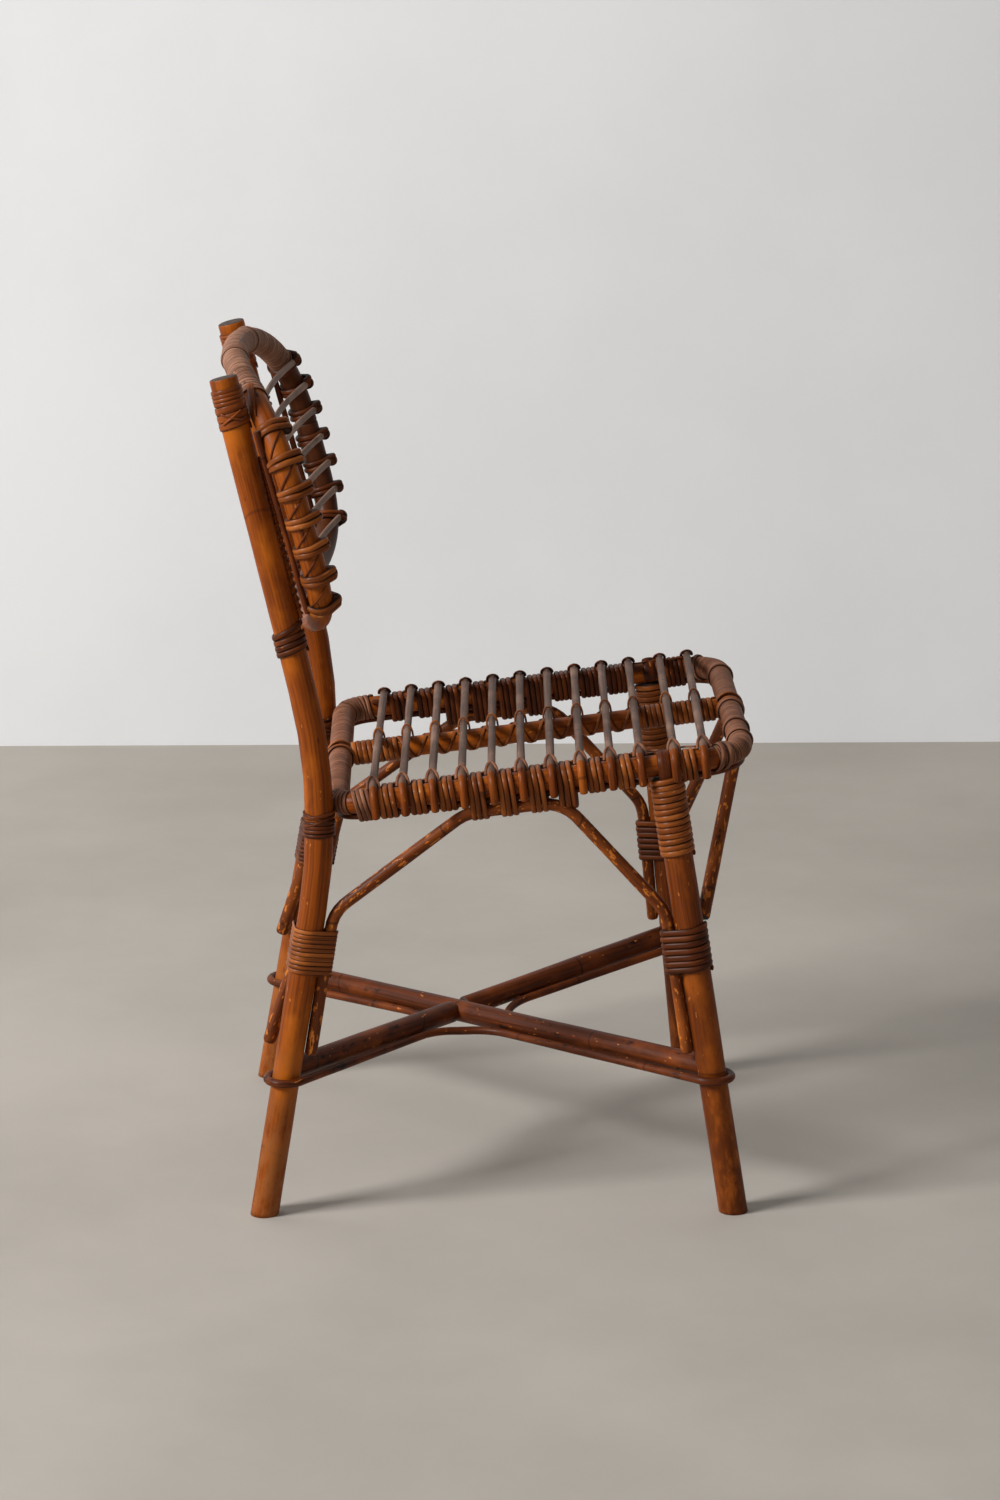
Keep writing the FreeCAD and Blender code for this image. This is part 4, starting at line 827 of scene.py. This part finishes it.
# Side rails: three or four turns beside each stick, a loop over it, and loose strands along the front end
RAIL_TURNS, CLOSE_RAIL_TURNS, RAIL_TURN_GAP = (5.5, 5.6, 2.8), (4.9, 5.0, 2.8), 1.0
CLOSE_FROM_STICK, LOOSE_FROM_STICK = 6, 10
LOOP_STRIP, LOOP_HALF, LOOP_DEEP, LOOP_TUCK, LOOP_LIFT, LOOP_HIGH = (3.0, 2.2), 5.6, 15, 3, 1.6, 8.8
LOOSE_STRIP, LOOSE_GAP, LOOSE_IN, LOOSE_SWAY, LOOSE_LIFT = (3.0, 1.8), 4, 7, 1.5, 2.4
LEG_RING, LEG_RING_AT, INNER_END_GAP, BAR_REACH = (6.6, 3.6), 9, 20, 8
for name, side in SIDES.items():
    rail_line = line(frame_corners[0 if side < 0 else 3], frame_corners[1 if side < 0 else 2])
    leg_x = leg_top(side)[0]
    stick_ends = [x + side * STICK_SKEW / 2 for x in STICK_X]
    wraps, loops = [], []
    for k, x in enumerate(stick_ends):
        points = []
        for turn in HALF_TURN:
            inward = LOOP_DEEP * math.sin(turn) - LOOP_TUCK
            high = RAIL_R + LOOP_LIFT + LOOP_HIGH * math.sin(turn) ** 0.9
            points.append(seat_point(x - LOOP_HALF * math.cos(turn), side * (RAIL_HALF - inward), high))
        loops.append(cane(points, [SEAT_UP] * len(points), *LOOP_STRIP, 180 + k + side))
        if k + 1 == len(stick_ends):
            break
        after = stick_ends[k + 1]
        poles = rail_only + [(-EDGE_DROP, 0, EDGE_R)]
        if x < leg_x - INNER_END_GAP:
            poles.append((inner_rise, side * inner_in, INNER_R))
        if abs((x + after) / 2 - BAR_X) < BAR_HALF + BAR_REACH:
            poles.append((-BAR_DROP, 0, BRACE_R))
        if not x < leg_x < after:
            close = side > 0 and k + 1 >= CLOSE_FROM_STICK
            count, turns = (4, CLOSE_RAIL_TURNS) if close else (3, RAIL_TURNS)
            begin = (x + STICK_R + RAIL_TURN_GAP - SEAT_BACK_X) / math.cos(SEAT_TILT)
            wraps.append(wound(rail_line, SEAT_UP, poles, begin, count * turns[0], turns,
                               150 + k + 20 * side, lift=-0.3))
        if k + 1 >= LOOSE_FROM_STICK:
            points = []
            for i in range(7):
                along = x + LOOSE_GAP + (after - x - 2 * LOOSE_GAP) * i / 6
                inward = LOOSE_IN + LOOSE_SWAY * math.sin(i)
                points.append(seat_point(along, side * (RAIL_HALF - inward), RAIL_R + LOOSE_LIFT))
            loops.append(cane(points, [SEAT_UP] * len(points), *LOOSE_STRIP, 196 + k + side))
    after_leg = (leg_x + LEG_RING_AT - SEAT_BACK_X) / math.cos(SEAT_TILT) + 2
    wraps.append(ring(rail_line, SEAT_UP, rail_only, after_leg, LEG_RING, 179 + side, tilt=-0.3))
    trimming(f"side_rail_wrap_{name}", wraps, SIDE_CANE_FAR_SHADED[side], f"side_rail_binding_{name}")
    trimming(f"stick_loops_{name}", loops, LOOP_CANE_FAR_SHADED[side])


# Front and back rails: fine wraps with a few heavier rings at the corners
def rail_mark(x, y):
    return rail_route.mark_near(seat_point(x, y))


def rail_turns(begin, end, turns, seed, **shape):
    return wound(rail_route, SEAT_UP, rail_only, begin, end - begin, turns, seed, **shape)


FRONT_RAIL_TURNS, FRONT_RING, FRONT_WRAP_START = (2.6, 2.7, 1.0), (4.8, 3.0), STICK_X[-1] + 8
BACK_RAIL_TURNS, CORNER_TURNS = (3.0, 3.1, 1.3), (3.2, 3.3, 1.4)
LEFT_CORNER_TURNS, LEFT_CORNER_FROM, LEFT_CORNER_TO = (5.6, 5.8, 2.6), -4, 30
RIGHT_CORNER_TURNS, RIGHT_CORNER_RUN = (4.2, 4.4, 2.4), (-8, 17)
CENTRE_GAP, CORNER_REACH, CORNER_WRAP_FROM, CORNER_WRAP_END = 8, 60, 24, 46
front_from, front_to = [rail_mark(FRONT_WRAP_START, side * RAIL_HALF) for side in (-1, 1)]
half = (front_from + front_to) / 2
wraps = []
for begin, end, seed in ((front_from, half - CENTRE_GAP, 181), (half + CENTRE_GAP, front_to, 183)):
    wraps.append(rail_turns(begin, end, FRONT_RAIL_TURNS, seed, sides=6))
front_rings = [(front_from + 2, 0.25), (front_from + 9, 0.2), (front_from + 62, -0.1),
               (front_from + 104, 0.1), (half - 16, 0.1), (half + 10, -0.1), (front_to - 66, 0.15),
               (front_to - 10, 0.2)]
for mark, tilt in front_rings:
    wraps.append(ring(rail_route, SEAT_UP, rail_only, mark, FRONT_RING, 185 + mark, tilt=tilt, lift=0.2))
binding("front_rail_wrap", join(wraps), FADED_CANE)

back_middle = rail_mark(SEAT_BACK_X, 0)
left_corner = rail_mark(SEAT_BACK_X + BACK_CORNER, RAIL_HALF)
wraps = []
for begin, end in ((left_corner + LEFT_CORNER_TO, back_middle - CENTRE_GAP),
                   (back_middle + CENTRE_GAP, back_middle + RAIL_HALF - BACK_CORNER)):
    wraps.append(rail_turns(begin, end, BACK_RAIL_TURNS, 191 + begin, sides=6))
corner_line = bent([seat_point(SEAT_BACK_X, CORNER_REACH - RAIL_HALF), frame_corners[0],
                    seat_point(SEAT_BACK_X + CORNER_REACH, -RAIL_HALF)], [0, BACK_CORNER, 0])
wraps.append(wound(corner_line, SEAT_UP, rail_only, CORNER_WRAP_FROM,
                   corner_line.length - CORNER_WRAP_FROM - CORNER_WRAP_END, CORNER_TURNS, 194, sides=6))
wraps.append(rail_turns(left_corner + LEFT_CORNER_FROM, left_corner + LEFT_CORNER_TO, LEFT_CORNER_TURNS, 193,
                        tilt=0.1))
right_rail = line(seat_point(SEAT_BACK_X + BACK_CORNER, -RAIL_HALF), seat_point(SEAT_FRONT_X, -RAIL_HALF))
wraps.append(bound(right_rail, SEAT_UP, rail_only + [(-EDGE_DROP, 0, EDGE_R)], 0, RIGHT_CORNER_RUN,
                   RIGHT_CORNER_TURNS, 195, tilt=-0.12))
binding("back_rail_wrap", join(wraps), FADED_CANE)

# Centre rail: close turns at both ends, crossed open spirals between, loops round the end rails and sticks
CENTRE_BACK_TURNS, CENTRE_BACK_RUN = (5.4, 5.6, 2.2), (3, 46)
CENTRE_FRONT_TURNS, CENTRE_FRONT_RUN = (5.0, 5.2, 2.0), (-86, 82)
SPIRAL_TURNS, BACK_SPIRAL_TURNS = (STICK_PITCH, 6.0, 1.7), (STICK_PITCH, 4.0, 1.5)
END_RING, CENTRE_STRIP, CENTRE_LOOP_HALF, CENTRE_LOOP_HIGH = (5.4, 3.4), (3.4, 2.0), 5.4, 2 * STICK_R + 4.6
front_end = centre_route.length
spiral_from = sum(CENTRE_BACK_RUN)
spiral_run = (spiral_from, front_end + CENTRE_FRONT_RUN[0] - spiral_from)
wraps = [bound(centre_route, SEAT_UP, centre_only, 0, CENTRE_BACK_RUN, CENTRE_BACK_TURNS, 190),
         bound(centre_route, SEAT_UP, centre_only, front_end, CENTRE_FRONT_RUN, CENTRE_FRONT_TURNS, 191),
         bound(centre_route, SEAT_UP, centre_only, 0, spiral_run, SPIRAL_TURNS, 193),
         bound(centre_route, SEAT_UP, centre_only, 0, spiral_run, BACK_SPIRAL_TURNS, 194, hand=-1)]
for x, y in ((SEAT_FRONT_X, -12.5), (SEAT_FRONT_X, 7), (SEAT_BACK_X, -12), (SEAT_BACK_X, 7)):
    end_rail = line(seat_point(x, y), seat_point(x, y + 10))
    wraps.append(ring(end_rail, SEAT_UP, rail_only, 0, END_RING, 196 + y, lift=0.6, tilt=0.15))
for k, x in enumerate(STICK_X):
    points, outs = [], []
    for turn in HALF_TURN:
        high = CENTRE_R - 2 + CENTRE_LOOP_HIGH * math.sin(turn) ** 0.7
        aside = 5 + 4 * math.sin(turn)
        points.append(seat_point(x - CENTRE_LOOP_HALF * math.cos(turn), aside, centre_rise + high))
        outs.append(SEAT_UP - SEAT_AXIS * math.cos(turn))
    wraps.append(cane(points, outs, *CENTRE_STRIP, 220 + k))
binding("centre_rail_lashing", join(wraps), CANE)


# Crown wrap: fine faded turns, a double ring and coarser turns where they end
def hoop_mark(y, level):
    return hoop_route.mark_near(hoop_point(y, level))


CROWN_TURNS, CROWN_RING = (2.6, 2.6, 1.3), (3.4, 2.6)
CROWN_END_TURNS, CROWN_END_RUN = (4.6, 4.8, 2.0), (-8, 18)
crown_from, crown_to = hoop_mark(178, 199), hoop_mark(-136, 231)
double_ring, left_ring = hoop_mark(-40, 251), hoop_mark(86, 246)
wraps = [wound(hoop_route, HOOP_FRONT, hoop_only, crown_from, crown_to - crown_from, CROWN_TURNS, 197,
               sides=6),
         bound(hoop_route, HOOP_FRONT, hoop_only, crown_to, CROWN_END_RUN, CROWN_END_TURNS, 198, tilt=0.25)]
for mark in (double_ring, double_ring + 6, left_ring, crown_from + 4):
    wraps.append(ring(hoop_route, HOOP_FRONT, hoop_only, mark, CROWN_RING, 199 + mark, tilt=0.15))
binding("crown_wrap", join(wraps), CROWN_CANE)

# Slat ties: a heavy cane collar round hoop and slat end, a ring on the slat, and a thin strand to the next
COLLAR_RING, COLLAR_SHIFTS = (6.2, 5.6), (-2.7, 2.7)
SLAT_RING, SLAT_RING_IN, SLAT_END_R = (5.6, 4.0), 3.4, 3.2
SLAT_STRAND, STRAND_DEGREES = (2.0, 1.2), (165, 95, 15)
STRIP_R, STRIP_LEAD, STRIP_Z, STRIP_TURNS = 2.4, 2.2, (742, 588), (7.5, 2.4, 1.3)
LOOSE_END, LOOSE_END_STOPS = (6.6, 2.0), ((2, 84), (20, 104), (40, 120))
for name, side in SIDES.items():
    collars, thin = [], []
    marks = [hoop_mark(side * hoop_width(level), level) for level in SLAT_LEVELS]
    poles = hoop_only + [(slat_ahead - 1.5, 0.5, SLAT_END_R)]
    for number, (mark, slat) in enumerate(zip(marks, slat_routes)):
        for k, shift in enumerate(COLLAR_SHIFTS):
            collars.append(ring(hoop_route, HOOP_FRONT, poles, mark + shift, COLLAR_RING,
                                200 + 3 * number + k + 40 * side, lift=-1.6, tilt=(0.1 - 0.05 * k) * side,
                                sides=10, uneven=0.3))
        at = SLAT_RING_IN if side < 0 else slat.length - SLAT_RING_IN
        collars.append(ring(slat, HOOP_FRONT, [(0, 0, SLAT_END_R)], at, SLAT_RING, 215 + number, lift=-0.8,
                            sides=10, uneven=0.3))
    for number, (a, b) in enumerate(zip(marks, marks[1:])):
        stops = list(zip((a, (a + b) / 2, b), STRAND_DEGREES))
        thin.append(strand(hoop_route, HOOP_FRONT, stops, HOOP_R, *SLAT_STRAND, 230 + number))
    trimming(f"slat_ties_{name}", collars, SIDE_CANE_FAR_SHADED[side])
    trimming(f"slat_strands_{name}", thin, DARK_CANE)

    # A knotted strip runs down the front of the post.
    strip = line(*(side_point(post_x(z, side) + BACK_R + STRIP_LEAD, z, side) for z in STRIP_Z))
    bm = straight_pole(strip.length, STRIP_R, 240 + side, sides=10, thin=0.8)
    knots = [lay_along(bm, strip, HOOP_FRONT),
             wound(strip, HOOP_FRONT, [(0, 0, STRIP_R - 0.1)], 4, strip.length - 8, STRIP_TURNS, 242 + side)]
    trimming(f"knotted_strip_{name}", knots, AMBER_CANE)

# A loose cane end hangs from the crown wrap, beside the right post.
stops = [(crown_to + length, degrees) for length, degrees in LOOSE_END_STOPS]
tail = strand(hoop_route, HOOP_FRONT, stops, HOOP_R + 0.6, *LOOSE_END, 250, taper=True)
trimming("loose_cane_end", [tail], AMBER_CANE)


# Floor, wall, light and camera, in metres
GROUND_SIZE, WALL_Y, CHAIR_MIDDLE = 8, 1.62, (0, 0, 0.4)


def plain_ground(name, place, turn, colour, cloud_colour):
    bm = bmesh.new()
    bmesh.ops.create_grid(bm, x_segments=1, y_segments=1, size=GROUND_SIZE,
                          matrix=Matrix.Translation(place) @ Matrix.Rotation(turn, 4, "X"))
    mesh = bpy.data.meshes.new(name)
    bm.to_mesh(mesh)
    bm.free()
    ground = bpy.data.objects.new(name, mesh)
    bpy.context.scene.collection.objects.link(ground)
    material, tree, shader = new_finish(f"{name}_finish")
    where = add(tree, "ShaderNodeTexCoord").outputs["Object"]
    cloud = add(tree, "ShaderNodeTexNoise", Vector=where, Scale=1.6, Detail=8.0, Roughness=0.6)
    tint = blend(tree, ramp(tree, cloud.outputs[0], 0.3, 0.7), colour, cloud_colour)
    feed(tree, shader, {"Base Color": tint, "Roughness": 0.85})
    # Seen from behind, the wall is clear, so that it hides nothing.
    behind = add(tree, "ShaderNodeNewGeometry").outputs["Backfacing"]
    clear = add(tree, "ShaderNodeBsdfTransparent").outputs[0]
    either = add(tree, "ShaderNodeMixShader")
    feed(tree, either, {0: behind, 1: shader.outputs[0], 2: clear})
    feed(tree, tree.nodes["Material Output"], {"Surface": either.outputs[0]})
    mesh.materials.append(material)


plain_ground("floor", (0, 0, 0), 0, tone(166, 159, 150), tone(180, 173, 164))
plain_ground("wall", (0, WALL_Y, 0), math.pi / 2, tone(234, 235, 236), tone(241, 242, 243))


def aimed(holder, place, aim):
    holder.location = place
    holder.rotation_euler = (Vector(aim) - Vector(place)).to_track_quat("-Z", "Y").to_euler()
    bpy.context.scene.collection.objects.link(holder)


def soft_lamp(name, place, size, power):
    lamp = bpy.data.lights.new(name, "AREA")
    lamp.size = size
    lamp.energy = power
    aimed(bpy.data.objects.new(name, lamp), place, CHAIR_MIDDLE)


soft_lamp("window_light", (-5.0, -2.3, 3.8), size=2.0, power=480)
soft_lamp("fill_light", (2.4, -3.2, 2.0), size=2.5, power=9)
world = bpy.data.worlds.new("studio")
world.use_nodes = True
sky = {"Color": (1.0, 0.98, 0.95, 1), "Strength": 0.17}
feed(world.node_tree, world.node_tree.nodes["Background"], sky)
bpy.context.scene.world = world
bpy.context.scene.view_settings.view_transform = "Standard"

camera_data = bpy.data.cameras.new("camera")
camera_data.sensor_fit = "VERTICAL"
camera_data.sensor_height = 36
camera_data.lens = 98
camera = bpy.data.objects.new("camera", camera_data)
aimed(camera, place=(-0.0482, -3.944, 1.435), aim=(0.0207, 0, 0.4115))
bpy.context.scene.camera = camera
